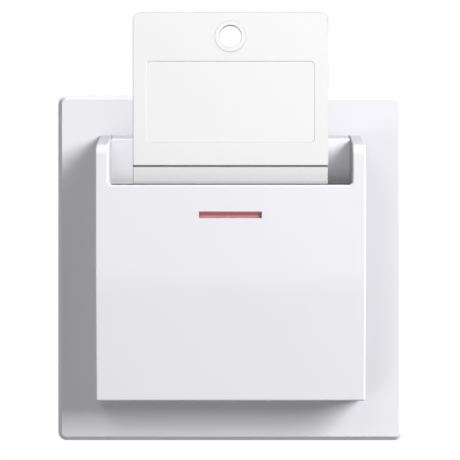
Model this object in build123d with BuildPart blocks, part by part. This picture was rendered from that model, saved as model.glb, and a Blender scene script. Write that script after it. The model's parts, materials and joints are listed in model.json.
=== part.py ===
# Hotel key card switch on a flush wall box, with the key card pushed home.
# Millimetres. +X is to the right, +Y goes into the wall and +Z is up, so the front faces -Y.
# The origin is the centre of the outer frame, on the plane of the wall.

import os
from math import atan2, cos, degrees, hypot, radians, sin, tan

from build123d import *

os.makedirs("parts", exist_ok=True)

# Shared clearances
overrun = 5.0            # how far a cut runs past what it cuts
near = 0.05              # how close an edge lies to the place that picks it
seat_gap = 0.1           # between pieces that rest or slide on each other
press_gap = 0.02         # round a pin that is pressed or clipped into its hole
shaft_gap = 0.05         # round a shaft that turns in its hole
slide_gap = 0.3          # round a piece that slides past another

# Support plate: the spacing of the box screws sets the size of all the rest
box_screw_spacing = 60.0
box_slot_length = 7.0
box_slot_radius = 2.0
plate_end_margin = 5.5   # from a box screw to the plate's edge
plate_thickness = 1.0
plate_corner_radius = 4.0
plate_window_gap = 0.3
plate_width = box_screw_spacing + 2 * plate_end_margin
plate_half = plate_width / 2

# Outer frame: a square surround that stands on the wall round the plate
plate_room = 3.45        # between the plate's edge and the frame's wall
frame_depth = 9.0
frame_border = 9.6       # width of its face beside the window
frame_face_thickness = 2.0
frame_wall_thickness = 1.8
frame_corner_radius = 2.0
frame_edge_chamfer = 0.95
window_gap = 0.06        # between the cover and the frame
window_corner_radius = 0.6
frame_pad_width = 2.2    # corner pads that rest on the support plate
frame_pad_margin = 0.8   # from the window to a pad
frame_rib_inset = 15.5   # ribs that centre the frame, from the corner of the plate
frame_rib_width = 6.0
frame_rib_thickness = 1.0
frame_width = plate_width + 2 * (plate_room + frame_wall_thickness)
frame_front_y = -frame_depth
frame_face_back_y = frame_front_y + frame_face_thickness
window_width = frame_width - 2 * frame_border

# Front cover: its outline seen from the side, then its walls
cover_rise = 12.0        # how far its front stands out of the frame
cover_top_excess = 0.2   # how much further the ears reach up than the sides reach out
cover_foot_inset = 0.7   # how much less the lower front edge reaches down
cover_sink = 4.0         # how far its back edge lies behind the frame's face
ear_thickness = 3.2
ear_slope = 14.0         # degrees that the tops of the ears fall towards the front
ear_nose_radius = 2.7
cover_edge_radius = 0.5
mouth_depth = 11.9       # from the ears' tops down to the front plate
mouth_edge_radius = 0.55
mouth_corner_radius = 0.8
mouth_lip_height = 0.25  # thin lip that stands up behind the front plate's rounded edge
mouth_lip_thickness = 0.9
front_plate_thickness = 2.5
facet_height = 27.6      # lower part of the front, which leans back
facet_angle = 4.5
facet_blend_radius = 60.0
bottom_draft = 4.2       # degrees that the bottom wall widens towards the wall
bottom_wall_thickness = 2.0
pocket_wall_thickness = 3.8
skirt_thickness = 1.2    # cover walls behind the card guide
shoulder_drop = 0.6      # from the front plate's top to the wide space behind it
cover_width = window_width - 2 * window_gap
cover_half_width = cover_width / 2
cover_front_y = frame_front_y - cover_rise
cover_back_y = frame_front_y + cover_sink
cover_top_z = cover_half_width + cover_top_excess
cover_bottom_z = cover_foot_inset - cover_half_width
window_height = 2 * (cover_top_z + window_gap)
ear_inner_x = cover_half_width - ear_thickness
pocket_half_width = cover_half_width - pocket_wall_thickness
skirt_inner_x = cover_half_width - skirt_thickness
plate_top_z = cover_top_z - mouth_depth
shoulder_z = plate_top_z - shoulder_drop
facet_top_z = cover_bottom_z + facet_height
pocket_front_y = cover_front_y + front_plate_thickness
pocket_bottom_z = cover_bottom_z + bottom_wall_thickness
skirt_bottom_z = cover_bottom_z + skirt_thickness
facet_lean = tan(radians(facet_angle))
ear_fall = tan(radians(ear_slope))
ear_nose_z = cover_top_z - cover_rise * ear_fall
bottom_spread = tan(radians(bottom_draft))
facet_foot_y = cover_front_y + facet_height * facet_lean
cover_foot_z = cover_bottom_z - (frame_front_y - facet_foot_y) * bottom_spread

# Snap hooks of the front cover
hook_thickness = 1.3
hook_width = 6.0
hook_place_z = 10.0
hook_root_length = 4.5   # how far a hook is joined to the skirt
hook_barb = 0.9
hook_barb_length = 0.9
hook_outer_x = skirt_inner_x
hook_inner_x = hook_outer_x - hook_thickness
hook_root_y = cover_back_y - hook_root_length

# Card guide: the back of the pocket
guide_proud = 4.0        # how far its face stands out of the frame
guide_thickness = 2.0
guide_hood_thickness = 1.6
guide_foot_gap = 0.2
guide_edge_radius = 0.3
guide_front_y = frame_front_y - guide_proud
guide_back_y = guide_front_y + guide_thickness
guide_bottom_z = skirt_bottom_z + guide_foot_gap
guide_half_width = skirt_inner_x - seat_gap
guide_neck_half_width = ear_inner_x - press_gap

# Guide screws
guide_screw_inset = 1.0  # from the pocket's side wall
guide_screw_upper_drop = 4.8
guide_screw_lower_rise = 5.0
guide_screw_radius = 0.8
guide_screw_head_radius = 1.4
guide_screw_head_thickness = 0.8
guide_screw_length = 5.0
guide_screw_x = pocket_half_width + guide_screw_inset
guide_screw_places_z = (shoulder_z - guide_screw_upper_drop, guide_bottom_z + guide_screw_lower_rise)

# Indicator lens and the light bar behind it
lens_drop = 6.9          # from the front plate's top to the lens
lens_width = 14.4
lens_height = 1.5
lens_recess = 0.6
lens_gap = 0.04
lens_flange_margin = 1.4
lens_flange_thickness = 0.8
light_bar_width = 13.0
light_bar_height = 1.5
light_bar_overhang = 0.2  # how far it reaches through the lid
lens_z = plate_top_z - lens_drop

# Key card
card_side_room = 4.55    # between the card and the side of the pocket
card_show = 40.3         # how much of it stands over the front plate
card_foot_room = 2.5     # between its end and the bottom of the pocket
card_corner_radius = 1.8
card_head_thickness = 1.4
card_tongue_thickness = 0.8
card_step_rise = 4.7     # the head is thicker from here up
card_step_slope = 0.35   # height of the step's underside, which leans back
card_gap = 0.3           # behind the card and beside it
label_margin = 3.2
label_drop = 11.4        # from the card's upper end to the label
label_rise = 5.3         # from the step to the label
label_corner_radius = 1.0
label_recess_depth = 0.3
label_thickness = 0.2
eyelet_drop = 5.6
eyelet_outer_radius = 3.65
eyelet_hole_radius = 2.6
eyelet_barrel_wall = 0.4
eyelet_lip_thickness = 0.35
card_width = 2 * (pocket_half_width - card_side_room)
card_top_z = plate_top_z + card_show
card_bottom_z = pocket_bottom_z + card_foot_room
card_length = card_top_z - card_bottom_z
card_back_y = guide_front_y - card_gap
card_step_y = card_back_y - card_tongue_thickness
card_front_y = card_back_y - card_head_thickness
card_step_z = plate_top_z + card_step_rise
label_width = card_width - 2 * label_margin
label_bottom_z = card_step_z + label_rise
label_height = card_top_z - label_drop - label_bottom_z
eyelet_z = card_top_z - eyelet_drop

# Ribs of the card guide that keep a narrow card in the middle
card_rib_height = 0.8
card_rib_thickness = 1.0
card_rib_end_inset = 1.9
card_rib_top_z = plate_top_z - card_rib_end_inset
card_rib_bottom_z = card_bottom_z + card_rib_end_inset

# Grip springs in the pocket
grip_place_x = 12.0
grip_width = 5.0
grip_thickness = 0.3
grip_drop = 4.5          # from the lens to the upper end
grip_flat_length = 7.0
grip_slope_length = 9.0
grip_tail_length = 6.5
grip_end_lift = 1.6      # how far the free end stands off the front plate
grip_stake_inset = 3.0
grip_stake_radius = 0.8
grip_stake_length = 0.7
grip_top_z = lens_z - grip_drop
grip_bend_z = grip_top_z - grip_flat_length
grip_touch_z = grip_bend_z - grip_slope_length
grip_end_z = grip_touch_z - grip_tail_length
grip_stake_z = grip_top_z - grip_stake_inset

# Card follower
follower_travel = 4.0
follower_foot_width = 16.0
follower_foot_thickness = 1.5
follower_foot_depth = 2.8
follower_neck_width = 8.0
carriage_thickness = 1.5
carriage_width = 14.0
carriage_top_room = 1.75  # under the light bar when the follower is up
carriage_bar_height = 1.8
carriage_foot_drop = 0.7  # how far the lower bar reaches under the foot
spring_window_width = 4.6
spring_window_drop = 1.5  # from the peg to the window for the spring
peg_radius = 1.5
peg_half_length = 3.0
peg_stem_height = 1.6
peg_stem_width = 4.0
foot_top_z = card_bottom_z - seat_gap
foot_bottom_z = foot_top_z - follower_foot_thickness
foot_back_y = guide_front_y - seat_gap - card_gap
carriage_front_y = guide_back_y + slide_gap
carriage_back_y = carriage_front_y + carriage_thickness
carriage_bottom_z = foot_bottom_z - carriage_foot_drop
carriage_top_z = lens_z - light_bar_height / 2 - follower_travel - carriage_top_room
peg_z = -follower_travel / 2
spring_window_top_z = peg_z - peg_radius - spring_window_drop

# Rails of the card guide that the carriage slides in
rail_thickness = 1.3
rail_lip_width = 1.6
rail_lip_thickness = 0.8
rail_top_drop = 0.75
rail_foot_gap = 0.4
rail_top_z = lens_z - light_bar_height / 2 - rail_top_drop
rail_bottom_z = pocket_bottom_z + rail_foot_gap

# Mechanism lid and base
box_screw_room = 7.8     # from a box screw to the base
mechanism_corner_radius = 2.0
mechanism_wall = 2.0
mechanism_depth = 15.0   # from the rocker's axle to the back
lid_room = 2.2           # between the carriage and the lid
lid_thickness = 1.5
flange_side_margin = 4.3
flange_end_margin = 0.8
flange_thickness = 1.6
post_width = 5.0
post_length = 12.0
lid_screw_inset = 3.6
lid_screw_radius = 1.0
lid_screw_head_radius = 1.9
lid_screw_head_thickness = 0.9
lid_screw_length = 9.0
screw_slot_width = 0.6
screw_slot_depth = 0.4
mechanism_width = box_screw_spacing - 2 * box_screw_room
mechanism_half = mechanism_width / 2
cavity_half = mechanism_half - mechanism_wall
flange_width = mechanism_width + 2 * flange_side_margin
flange_height = mechanism_width + 2 * flange_end_margin
flange_front_y = -plate_thickness - flange_thickness
lid_front_y = carriage_back_y + lid_room
lid_back_y = lid_front_y + lid_thickness
lid_screw_place = mechanism_half - lid_screw_inset
light_bar_back_y = lid_back_y + light_bar_overhang

# Return spring
spring_radius = 1.4
spring_wire_radius = 0.18
spring_turns = 9
spring_seat_inset = 1.2  # from the lid's lower edge
spring_seat_thickness = 1.0
spring_seat_width = 3.6
spring_y = carriage_back_y + slide_gap
spring_seat_z = spring_seat_inset - mechanism_half

# Plate rivets
rivet_side_margin = 2.2
rivet_end_inset = 6.0
rivet_radius = 1.2
rivet_head_radius = 2.0
rivet_head_thickness = 0.7
rivet_tail_thickness = 0.6
rivet_place_x = mechanism_half + rivet_side_margin
rivet_place_z = flange_height / 2 - rivet_end_inset

# Rocker and its axle
pivot_depth = 14.5       # from the lid's back to the axle
rocker_reach = 12.0      # from the axle to the line that the peg moves on
rocker_hub_radius = 3.2
rocker_half_width = 4.4
fork_gap = 0.15          # between the peg and each jaw
fork_jaw_thickness = 1.6
fork_tip = 1.4           # how far the jaws reach past the peg's centre
fork_root = 2.2          # how far the fork's slot reaches behind it
axle_radius = 1.0
axle_half_length = 8.0
tail_length = 6.0
tail_thickness = 3.0
blade_thickness = 0.5
blade_half_width = 2.0
blade_reach = 9.6
blade_root = 4.0
tip_reach = 8.2
tip_radius = 1.4
tip_thickness = 0.7
contact_gap = 0.06       # between tips that meet at the end of the travel
pivot_y = lid_back_y + pivot_depth
peg_line_y = pivot_y - rocker_reach
peg_distance = hypot(rocker_reach, follower_travel / 2)
rest_tilt = atan2(follower_travel / 2, rocker_reach)
mechanism_back_y = pivot_y + mechanism_depth
cavity_back_y = mechanism_back_y - mechanism_wall

# Fixed contacts
strip_thickness = 0.6
strip_half_width = 1.8
contact_pad_start = 6.6
contact_pad_end = 10.2
contact_bar_reach = 9.8  # from the axle to the upright strips
contact_bar_z = 3.6
bracket_ear_x = 4.8
bracket_ear_thickness = 0.7
bracket_ear_half_width = 2.2
bracket_bridge_drop = 6.8
contact_bar_y = pivot_y + contact_bar_reach

# Bearing posts in the base
bearing_x = 6.2
bearing_thickness = 1.9
bearing_half_height = 2.6
bearing_front_y = pivot_y - bearing_half_height + seat_gap * 2

# Terminals
terminal_width = 7.0
terminal_height = 7.0
terminal_line_inset = 5.0
terminal_load_inset = 7.2
terminal_step = 7.8      # from the line terminal to the neutral one
terminal_foot_rise = 0.8
terminal_depth = 8.0
terminal_back_inset = 2.0
wire_rise = 4.2
wire_radius = 1.4
wire_entry_radius = 1.7
terminal_screw_radius = 1.5
terminal_screw_head_radius = 2.3
terminal_screw_head_thickness = 1.4
terminal_screw_access_radius = 2.6
terminal_line_x = terminal_line_inset - cavity_half
terminal_neutral_x = terminal_line_x + terminal_step
terminal_load_x = cavity_half - terminal_load_inset
terminal_places = (terminal_line_x, terminal_neutral_x, terminal_load_x)
terminal_back_y = cavity_back_y - terminal_back_inset
terminal_front_y = terminal_back_y - terminal_depth
terminal_middle_y = (terminal_front_y + terminal_back_y) / 2
terminal_bottom_z = terminal_foot_rise - cavity_half
terminal_top_z = terminal_bottom_z + terminal_height
wire_z = terminal_bottom_z + wire_rise

# Lamp and its board
lamp_radius = 2.0
lamp_length = 10.0
lamp_wall = 0.4
board_room = 1.6         # between the lamp and the board
board_thickness = 1.2
board_side_inset = 5.2
board_drop = 4.3         # from the lens down to the board's lower edge
board_rise = 5.1
board_post_width = 2.4
board_post_inset = 2.6
board_post_rise = 1.0
lead_radius = 0.25
resistor_radius = 1.1
resistor_length = 6.0
resistor_rise = 3.4
resistor_wire_overhang = 2.0
lamp_strip_x = 10.6
lamp_y = light_bar_back_y + slide_gap + lamp_radius
board_front_y = lamp_y + lamp_radius + board_room
board_back_y = board_front_y + board_thickness
board_half_width = cavity_half - board_side_inset
board_bottom_z = lens_z - board_drop
board_top_z = lens_z + board_rise
board_post_x = board_half_width - board_post_inset
board_post_z = lens_z + board_post_rise
resistor_y = board_front_y - seat_gap - resistor_radius
resistor_z = lens_z + resistor_rise

# Claws
claw_side_room = 1.3     # between the base and the hinge
claw_hinge_y = 1.3
claw_pin_radius = 0.5
claw_knuckle_radius = 1.05
claw_half_width = 4.0
claw_thickness = 0.8
claw_end_inset = 5.0     # from the base's back to the end of a claw
claw_tooth_height = 2.4
claw_tab_reach = 2.4     # from the hinge back to the tab
claw_tab_margin = 2.2    # how far the tab reaches past its screw
claw_slot_rise = 1.0
claw_slot_gap = 0.35
claw_lug_gap = 0.3
claw_lug_thickness = 0.8
claw_lug_half_height = 0.85
claw_lug_margin = 1.0
claw_screw_reach = 3.7   # from the hinge to the screw
claw_screw_radius = 1.45
claw_screw_head_radius = 2.6
claw_screw_head_thickness = 1.7
claw_screw_tip_margin = 2.3
claw_hinge_z = mechanism_half + claw_side_room
claw_end_y = mechanism_back_y - claw_end_inset
claw_tab_y = claw_hinge_y + claw_tab_reach
claw_slot_start_z = claw_hinge_z + claw_slot_rise
claw_lug_depth = claw_hinge_y + claw_lug_margin
claw_screw_z = claw_hinge_z + claw_screw_reach
claw_tab_top_z = claw_screw_z + claw_tab_margin
claw_screw_tip_y = claw_tab_y + claw_screw_tip_margin

print("frame width, plate width, card width and length:")
print(*(round(size, 3) for size in (frame_width, plate_width, card_width, card_length)))
print("rocker swing in degrees:", round(degrees(2 * rest_tilt), 4))

# The rocker's own plane at rest: x runs from the axle to the peg, y points up
rocker_plane = Plane(
    origin=(0, pivot_y, 0),
    x_dir=(0, -cos(rest_tilt), -sin(rest_tilt)),
    z_dir=(-1, 0, 0),
)


def block(x_span, y_span, z_span, mode=Mode.ADD):
    """Add a box to the piece being made, between two places along each axis."""
    middle = [(low + high) / 2 for low, high in (x_span, y_span, z_span)]
    size = [abs(high - low) for low, high in (x_span, y_span, z_span)]
    with Locations(tuple(middle)):
        Box(*size, mode=mode)


def rod(centre, direction, radius, length, mode=Mode.ADD):
    """Add a cylinder that starts at a point and runs along a direction."""
    with Locations(Plane(origin=centre, z_dir=direction)):
        Cylinder(radius, length, align=(Align.CENTER, Align.CENTER, Align.MIN), mode=mode)


def save(piece, name):
    """Label a finished piece and write it to its own file."""
    piece.part.label = name
    export_step(piece.part, f"parts/{name}.step")


def slotted_screw(seat, direction, shank_radius, shank_length, head_radius, head_thickness):
    """Add a screw whose shank starts at its seat and runs along a direction."""
    into = Vector(*direction)
    head = Vector(*seat) - into * head_thickness
    rod(seat, direction, shank_radius, shank_length)
    rod(head, direction, head_radius, head_thickness)
    with Locations(Plane(origin=head, z_dir=direction)):
        Box(2 * head_radius, screw_slot_width, 2 * screw_slot_depth, mode=Mode.SUBTRACT)


def in_rocker(forward, up):
    """Give the (y, z) place of a point of the rocker's own plane."""
    point = rocker_plane.from_local_coords((forward, up, 0))
    return point.Y, point.Z


# Outer frame: a shell that stands on the wall, with a window for the cover
with BuildPart() as outer_frame:
    with BuildSketch(Plane.XZ):
        RectangleRounded(frame_width, frame_width, frame_corner_radius)
    extrude(amount=frame_depth)
    chamfer(outer_frame.faces().sort_by(Axis.Y)[0].edges(), frame_edge_chamfer)
    frame_inside = frame_width - 2 * frame_wall_thickness
    with BuildSketch(Plane.XZ):
        Rectangle(frame_inside, frame_inside)
    extrude(amount=frame_depth - frame_face_thickness, mode=Mode.SUBTRACT)
    with BuildSketch(Plane.XZ):
        RectangleRounded(window_width, window_height, window_corner_radius)
    extrude(amount=frame_depth + overrun, mode=Mode.SUBTRACT)
    pad_outer = frame_inside / 2
    pad_inner = window_width / 2 + frame_pad_margin
    for side_x in (-1, 1):
        for side_z in (-1, 1):
            block(
                (side_x * pad_inner, side_x * (pad_inner + frame_pad_width)),
                (frame_face_back_y, -plate_thickness),
                (side_z * pad_inner, side_z * (pad_inner + frame_pad_width)),
            )
            rib_reach = (plate_half + seat_gap, pad_outer)
            rib_depth = (frame_face_back_y, -seat_gap)
            for rib_edge in (0, frame_rib_width - frame_rib_thickness):
                start = plate_half - frame_rib_inset - frame_rib_width / 2 + rib_edge
                span = (side_z * start, side_z * (start + frame_rib_thickness))
                reach = (side_x * rib_reach[0], side_x * rib_reach[1])
                block(reach, rib_depth, span)
                block(span, rib_depth, reach)
save(outer_frame, "outer_frame")

# Front cover: side walls that rise into two ears, and a front plate between them
with BuildPart() as front_cover:
    with BuildSketch(Plane.YZ):
        with BuildLine():
            Polyline(
                (cover_back_y, cover_top_z),
                (frame_front_y, cover_top_z),
                (cover_front_y, ear_nose_z),
                (cover_front_y, facet_top_z),
                (facet_foot_y, cover_bottom_z),
                (frame_front_y, cover_foot_z),
                (cover_back_y, cover_foot_z),
                close=True,
            )
        make_face()
        for corner_z, corner_radius in (
            (facet_top_z, facet_blend_radius),
            (ear_nose_z, ear_nose_radius),
            (cover_bottom_z, cover_edge_radius),
        ):
            fillet(vertices().filter_by(lambda v: abs(v.Y - corner_z) < near), corner_radius)
    extrude(amount=cover_half_width, both=True)
    for side_face in (front_cover.faces().sort_by(Axis.X)[0], front_cover.faces().sort_by(Axis.X)[-1]):
        outline = side_face.edges().filter_by(lambda e: e.center().Y < cover_back_y - near)
        fillet(outline, cover_edge_radius)
    with BuildSketch(Plane.YZ):
        with BuildLine():
            Polyline(
                (pocket_front_y, plate_top_z + overrun),
                (pocket_front_y, facet_top_z),
                (pocket_front_y + (facet_top_z - pocket_bottom_z) * facet_lean, pocket_bottom_z),
                (0, pocket_bottom_z),
                (0, plate_top_z + overrun),
                close=True,
            )
        make_face()
    extrude(amount=pocket_half_width, both=True, mode=Mode.SUBTRACT)
    block(
        (-skirt_inner_x, skirt_inner_x),
        (guide_front_y, 0),
        (skirt_bottom_z, shoulder_z),
        mode=Mode.SUBTRACT,
    )
    block(
        (-ear_inner_x, ear_inner_x),
        (cover_front_y - overrun, 0),
        (plate_top_z, cover_top_z + overrun),
        mode=Mode.SUBTRACT,
    )
    block(
        (-ear_inner_x, ear_inner_x),
        (guide_front_y, 0),
        (shoulder_z - near, plate_top_z + near),
        mode=Mode.SUBTRACT,
    )
    for side_x in (-1, 1):
        for side_z in (-1, 1):
            span_z = (
                side_z * hook_place_z - hook_width / 2,
                side_z * hook_place_z + hook_width / 2,
            )
            block(
                (side_x * hook_inner_x, side_x * (hook_outer_x + skirt_thickness / 2)),
                (hook_root_y, cover_back_y),
                span_z,
            )
            block(
                (side_x * hook_inner_x, side_x * hook_outer_x),
                (cover_back_y, seat_gap + hook_barb_length),
                span_z,
            )
            block(
                (side_x * hook_outer_x, side_x * (hook_outer_x + hook_barb)),
                (seat_gap, seat_gap + hook_barb_length),
                span_z,
            )
        rod(
            (side_x * grip_place_x, pocket_front_y, grip_stake_z),
            (0, 1, 0),
            grip_stake_radius,
            grip_stake_length,
        )
        for screw_z in guide_screw_places_z:
            rod(
                (side_x * guide_screw_x, guide_front_y, screw_z),
                (0, -1, 0),
                guide_screw_radius + press_gap,
                guide_screw_length - guide_thickness,
                mode=Mode.SUBTRACT,
            )
    block(
        (-lens_width / 2, lens_width / 2),
        (cover_front_y - overrun, pocket_front_y + near),
        (lens_z - lens_height / 2, lens_z + lens_height / 2),
        mode=Mode.SUBTRACT,
    )
    mouth_corners = front_cover.edges().filter_by(Axis.Y).filter_by(
        lambda e: abs(e.center().Z - plate_top_z) < near
        and abs(abs(e.center().X) - ear_inner_x) < near
    )
    fillet(mouth_corners, mouth_corner_radius)
    nose_low_z = ear_nose_z - ear_nose_radius
    front_rim = front_cover.edges().filter_by(
        lambda e: abs(e.center().Y - cover_front_y) < near
        and e.center().Z > plate_top_z - near
        and abs(e.center().X) < ear_inner_x + near
    )
    top_rim = front_cover.edges().filter_by(
        lambda e: e.center().Y > cover_front_y + near
        and e.center().Y < cover_back_y - near
        and e.center().Z > nose_low_z
        and abs(abs(e.center().X) - ear_inner_x) < near
    )
    fillet(front_rim + top_rim, mouth_edge_radius)
    block(
        (-ear_inner_x, ear_inner_x),
        (pocket_front_y - mouth_lip_thickness, pocket_front_y),
        (shoulder_z, plate_top_z + mouth_lip_height),
    )
save(front_cover, "front_cover")

# Card guide: back panel of the pocket, with a hood that closes the top behind it
hood_fall = (frame_front_y - guide_front_y) * ear_fall
with BuildPart() as card_guide:
    with BuildSketch(Plane.YZ):
        with BuildLine():
            Polyline(
                (guide_front_y, shoulder_z - 2 * seat_gap),
                (guide_front_y, cover_top_z - hood_fall),
                (frame_front_y, cover_top_z),
                (cover_back_y, cover_top_z),
                (cover_back_y, cover_top_z - guide_hood_thickness),
                (frame_front_y, cover_top_z - guide_hood_thickness),
                (guide_back_y, cover_top_z - guide_hood_thickness - hood_fall / 2),
                (guide_back_y, shoulder_z - 2 * seat_gap),
                close=True,
            )
        make_face()
    extrude(amount=guide_neck_half_width, both=True)
    fillet(card_guide.faces().sort_by(Axis.Y)[0].edges().sort_by(Axis.Z)[-1], guide_edge_radius)
    block(
        (-guide_half_width, guide_half_width),
        (guide_front_y, guide_back_y),
        (guide_bottom_z, shoulder_z - seat_gap),
    )
    rib_inner_x = card_width / 2 + card_gap
    for side_x in (-1, 1):
        block(
            (side_x * rib_inner_x, side_x * (rib_inner_x + card_rib_thickness)),
            (guide_front_y - card_rib_height, guide_front_y),
            (card_rib_bottom_z, card_rib_top_z),
        )
        rail_inner_x = carriage_width / 2 + seat_gap
        rail_back_y = carriage_back_y + seat_gap + rail_lip_thickness
        block(
            (side_x * rail_inner_x, side_x * (rail_inner_x + rail_thickness)),
            (guide_back_y, rail_back_y),
            (rail_bottom_z, rail_top_z),
        )
        block(
            (side_x * (rail_inner_x - rail_lip_width), side_x * (rail_inner_x + rail_thickness)),
            (carriage_back_y + seat_gap, rail_back_y),
            (rail_bottom_z, rail_top_z),
        )
        for screw_z in guide_screw_places_z:
            rod(
                (side_x * guide_screw_x, guide_front_y, screw_z),
                (0, 1, 0),
                guide_screw_radius + shaft_gap,
                guide_thickness,
                mode=Mode.SUBTRACT,
            )
    block(
        (-follower_neck_width / 2 - slide_gap, follower_neck_width / 2 + slide_gap),
        (guide_front_y - overrun, guide_back_y + near),
        (foot_bottom_z - slide_gap, foot_top_z + follower_travel + slide_gap),
        mode=Mode.SUBTRACT,
    )
    block(
        (-light_bar_width / 2 - lens_gap, light_bar_width / 2 + lens_gap),
        (guide_front_y - overrun, 0),
        (lens_z - light_bar_height / 2 - lens_gap, lens_z + light_bar_height / 2 + lens_gap),
        mode=Mode.SUBTRACT,
    )
save(card_guide, "card_guide")

# Indicator lens: a strip in the front plate, held by a flange behind it
with BuildPart() as indicator_lens:
    block(
        (-lens_width / 2 + lens_gap, lens_width / 2 - lens_gap),
        (cover_front_y + lens_recess, pocket_front_y),
        (lens_z - lens_height / 2 + lens_gap, lens_z + lens_height / 2 - lens_gap),
    )
    flange_half_x = lens_width / 2 + lens_flange_margin
    flange_half_z = lens_height / 2 + lens_flange_margin
    block(
        (-flange_half_x, flange_half_x),
        (pocket_front_y, pocket_front_y + lens_flange_thickness),
        (lens_z - flange_half_z, lens_z + flange_half_z),
    )
save(indicator_lens, "indicator_lens")

# Light bar: carries the lamp's light through the card guide
with BuildPart() as light_bar:
    block(
        (-light_bar_width / 2, light_bar_width / 2),
        (guide_front_y, light_bar_back_y),
        (lens_z - light_bar_height / 2, lens_z + light_bar_height / 2),
    )
save(light_bar, "light_bar")

# Grip springs: bent strips staked to the back of the front plate
for grip_name, side_x in (("grip_spring_left", -1), ("grip_spring_right", 1)):
    grip_flat_y = pocket_front_y + grip_thickness / 2
    grip_touch_y = card_step_y - seat_gap - grip_thickness / 2
    grip_end_y = pocket_front_y + grip_end_lift
    with BuildPart() as grip_spring:
        with BuildSketch(Plane.YZ.offset(side_x * grip_place_x)):
            with BuildLine() as grip_path:
                FilletPolyline(
                    (grip_flat_y, grip_top_z),
                    (grip_flat_y, grip_bend_z),
                    (grip_touch_y, grip_touch_z),
                    (grip_end_y, grip_end_z),
                    radius=grip_thickness * 4,
                )
            trace(line_width=grip_thickness)
        extrude(amount=grip_width / 2, both=True)
        rod(
            (side_x * grip_place_x, pocket_front_y - near, grip_stake_z),
            (0, 1, 0),
            grip_stake_radius + press_gap,
            2 * grip_thickness,
            mode=Mode.SUBTRACT,
        )
    save(grip_spring, grip_name)

# Guide screws: four self-tapping screws from behind
with BuildPart() as guide_screws:
    for side_x in (-1, 1):
        for screw_z in guide_screw_places_z:
            slotted_screw(
                (side_x * guide_screw_x, guide_back_y, screw_z),
                (0, -1, 0),
                guide_screw_radius,
                guide_screw_length - seat_gap,
                guide_screw_head_radius,
                guide_screw_head_thickness,
            )
save(guide_screws, "guide_screws")

# Card body: a thicker head over a thin tongue, with a recess for the label
with BuildPart() as card_body:
    with BuildSketch(Plane.XZ.offset(-card_back_y)):
        with Locations((0, card_top_z - card_length / 2)):
            RectangleRounded(card_width, card_length, card_corner_radius)
    extrude(amount=card_head_thickness)
    with BuildSketch(Plane.YZ):
        with BuildLine():
            Polyline(
                (card_front_y - overrun, card_step_z),
                (card_front_y, card_step_z),
                (card_step_y, card_step_z - card_step_slope),
                (card_step_y, card_bottom_z - overrun),
                (card_front_y - overrun, card_bottom_z - overrun),
                close=True,
            )
        make_face()
    extrude(amount=card_width, both=True, mode=Mode.SUBTRACT)
    with BuildSketch(Plane.XZ.offset(-card_front_y)):
        with Locations((0, label_bottom_z + label_height / 2)):
            RectangleRounded(label_width, label_height, label_corner_radius)
    extrude(amount=-label_recess_depth, mode=Mode.SUBTRACT)
    rod(
        (0, card_front_y - overrun, eyelet_z),
        (0, 1, 0),
        eyelet_hole_radius + eyelet_barrel_wall + press_gap,
        3 * overrun,
        mode=Mode.SUBTRACT,
    )
save(card_body, "card_body")

# Card label: a blank insert in the recess
with BuildPart() as card_label:
    with BuildSketch(Plane.XZ.offset(-card_front_y - label_recess_depth)):
        with Locations((0, label_bottom_z + label_height / 2)):
            RectangleRounded(
                label_width - 2 * press_gap,
                label_height - 2 * press_gap,
                label_corner_radius - press_gap,
            )
    extrude(amount=label_thickness)
save(card_label, "card_label")

# Card eyelet: a barrel through the card with a lip on the front
with BuildPart() as card_eyelet:
    rod(
        (0, card_back_y, eyelet_z),
        (0, -1, 0),
        eyelet_hole_radius + eyelet_barrel_wall,
        card_head_thickness + eyelet_lip_thickness,
    )
    rod((0, card_front_y, eyelet_z), (0, -1, 0), eyelet_outer_radius, eyelet_lip_thickness)
    rod(
        (0, card_back_y + overrun, eyelet_z),
        (0, -1, 0),
        eyelet_hole_radius,
        3 * overrun,
        mode=Mode.SUBTRACT,
    )
save(card_eyelet, "card_eyelet")

# Card follower: foot under the card, neck through the guide, carriage and peg
with BuildPart() as card_follower:
    block(
        (-follower_foot_width / 2, follower_foot_width / 2),
        (foot_back_y - follower_foot_depth, foot_back_y),
        (foot_bottom_z, foot_top_z),
    )
    block(
        (-follower_neck_width / 2, follower_neck_width / 2),
        (foot_back_y, carriage_front_y),
        (foot_bottom_z, foot_top_z),
    )
    block(
        (-carriage_width / 2, carriage_width / 2),
        (carriage_front_y, carriage_back_y),
        (carriage_bottom_z, carriage_top_z),
    )
    block(
        (-spring_window_width / 2, spring_window_width / 2),
        (carriage_front_y - near, carriage_back_y + near),
        (carriage_bottom_z + carriage_bar_height, spring_window_top_z),
        mode=Mode.SUBTRACT,
    )
    block(
        (-peg_stem_width / 2, peg_stem_width / 2),
        (carriage_back_y, peg_line_y),
        (peg_z - peg_stem_height / 2, peg_z + peg_stem_height / 2),
    )
    rod((-peg_half_length, peg_line_y, peg_z), (1, 0, 0), peg_radius, 2 * peg_half_length)
save(card_follower, "card_follower")

# Return spring: a helix between the seat on the lid and the top of the window
spring_bottom_z = spring_seat_z + spring_wire_radius + press_gap
spring_height = spring_window_top_z - spring_wire_radius - press_gap - spring_bottom_z
with BuildPart() as return_spring:
    with BuildLine(Plane(origin=(0, spring_y, spring_bottom_z))) as spring_path:
        Helix(pitch=spring_height / spring_turns, height=spring_height, radius=spring_radius)
    with BuildSketch(Plane(origin=spring_path.wire() @ 0, z_dir=spring_path.wire() % 0)):
        Circle(spring_wire_radius)
    sweep(is_frenet=True)
save(return_spring, "return_spring")

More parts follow.
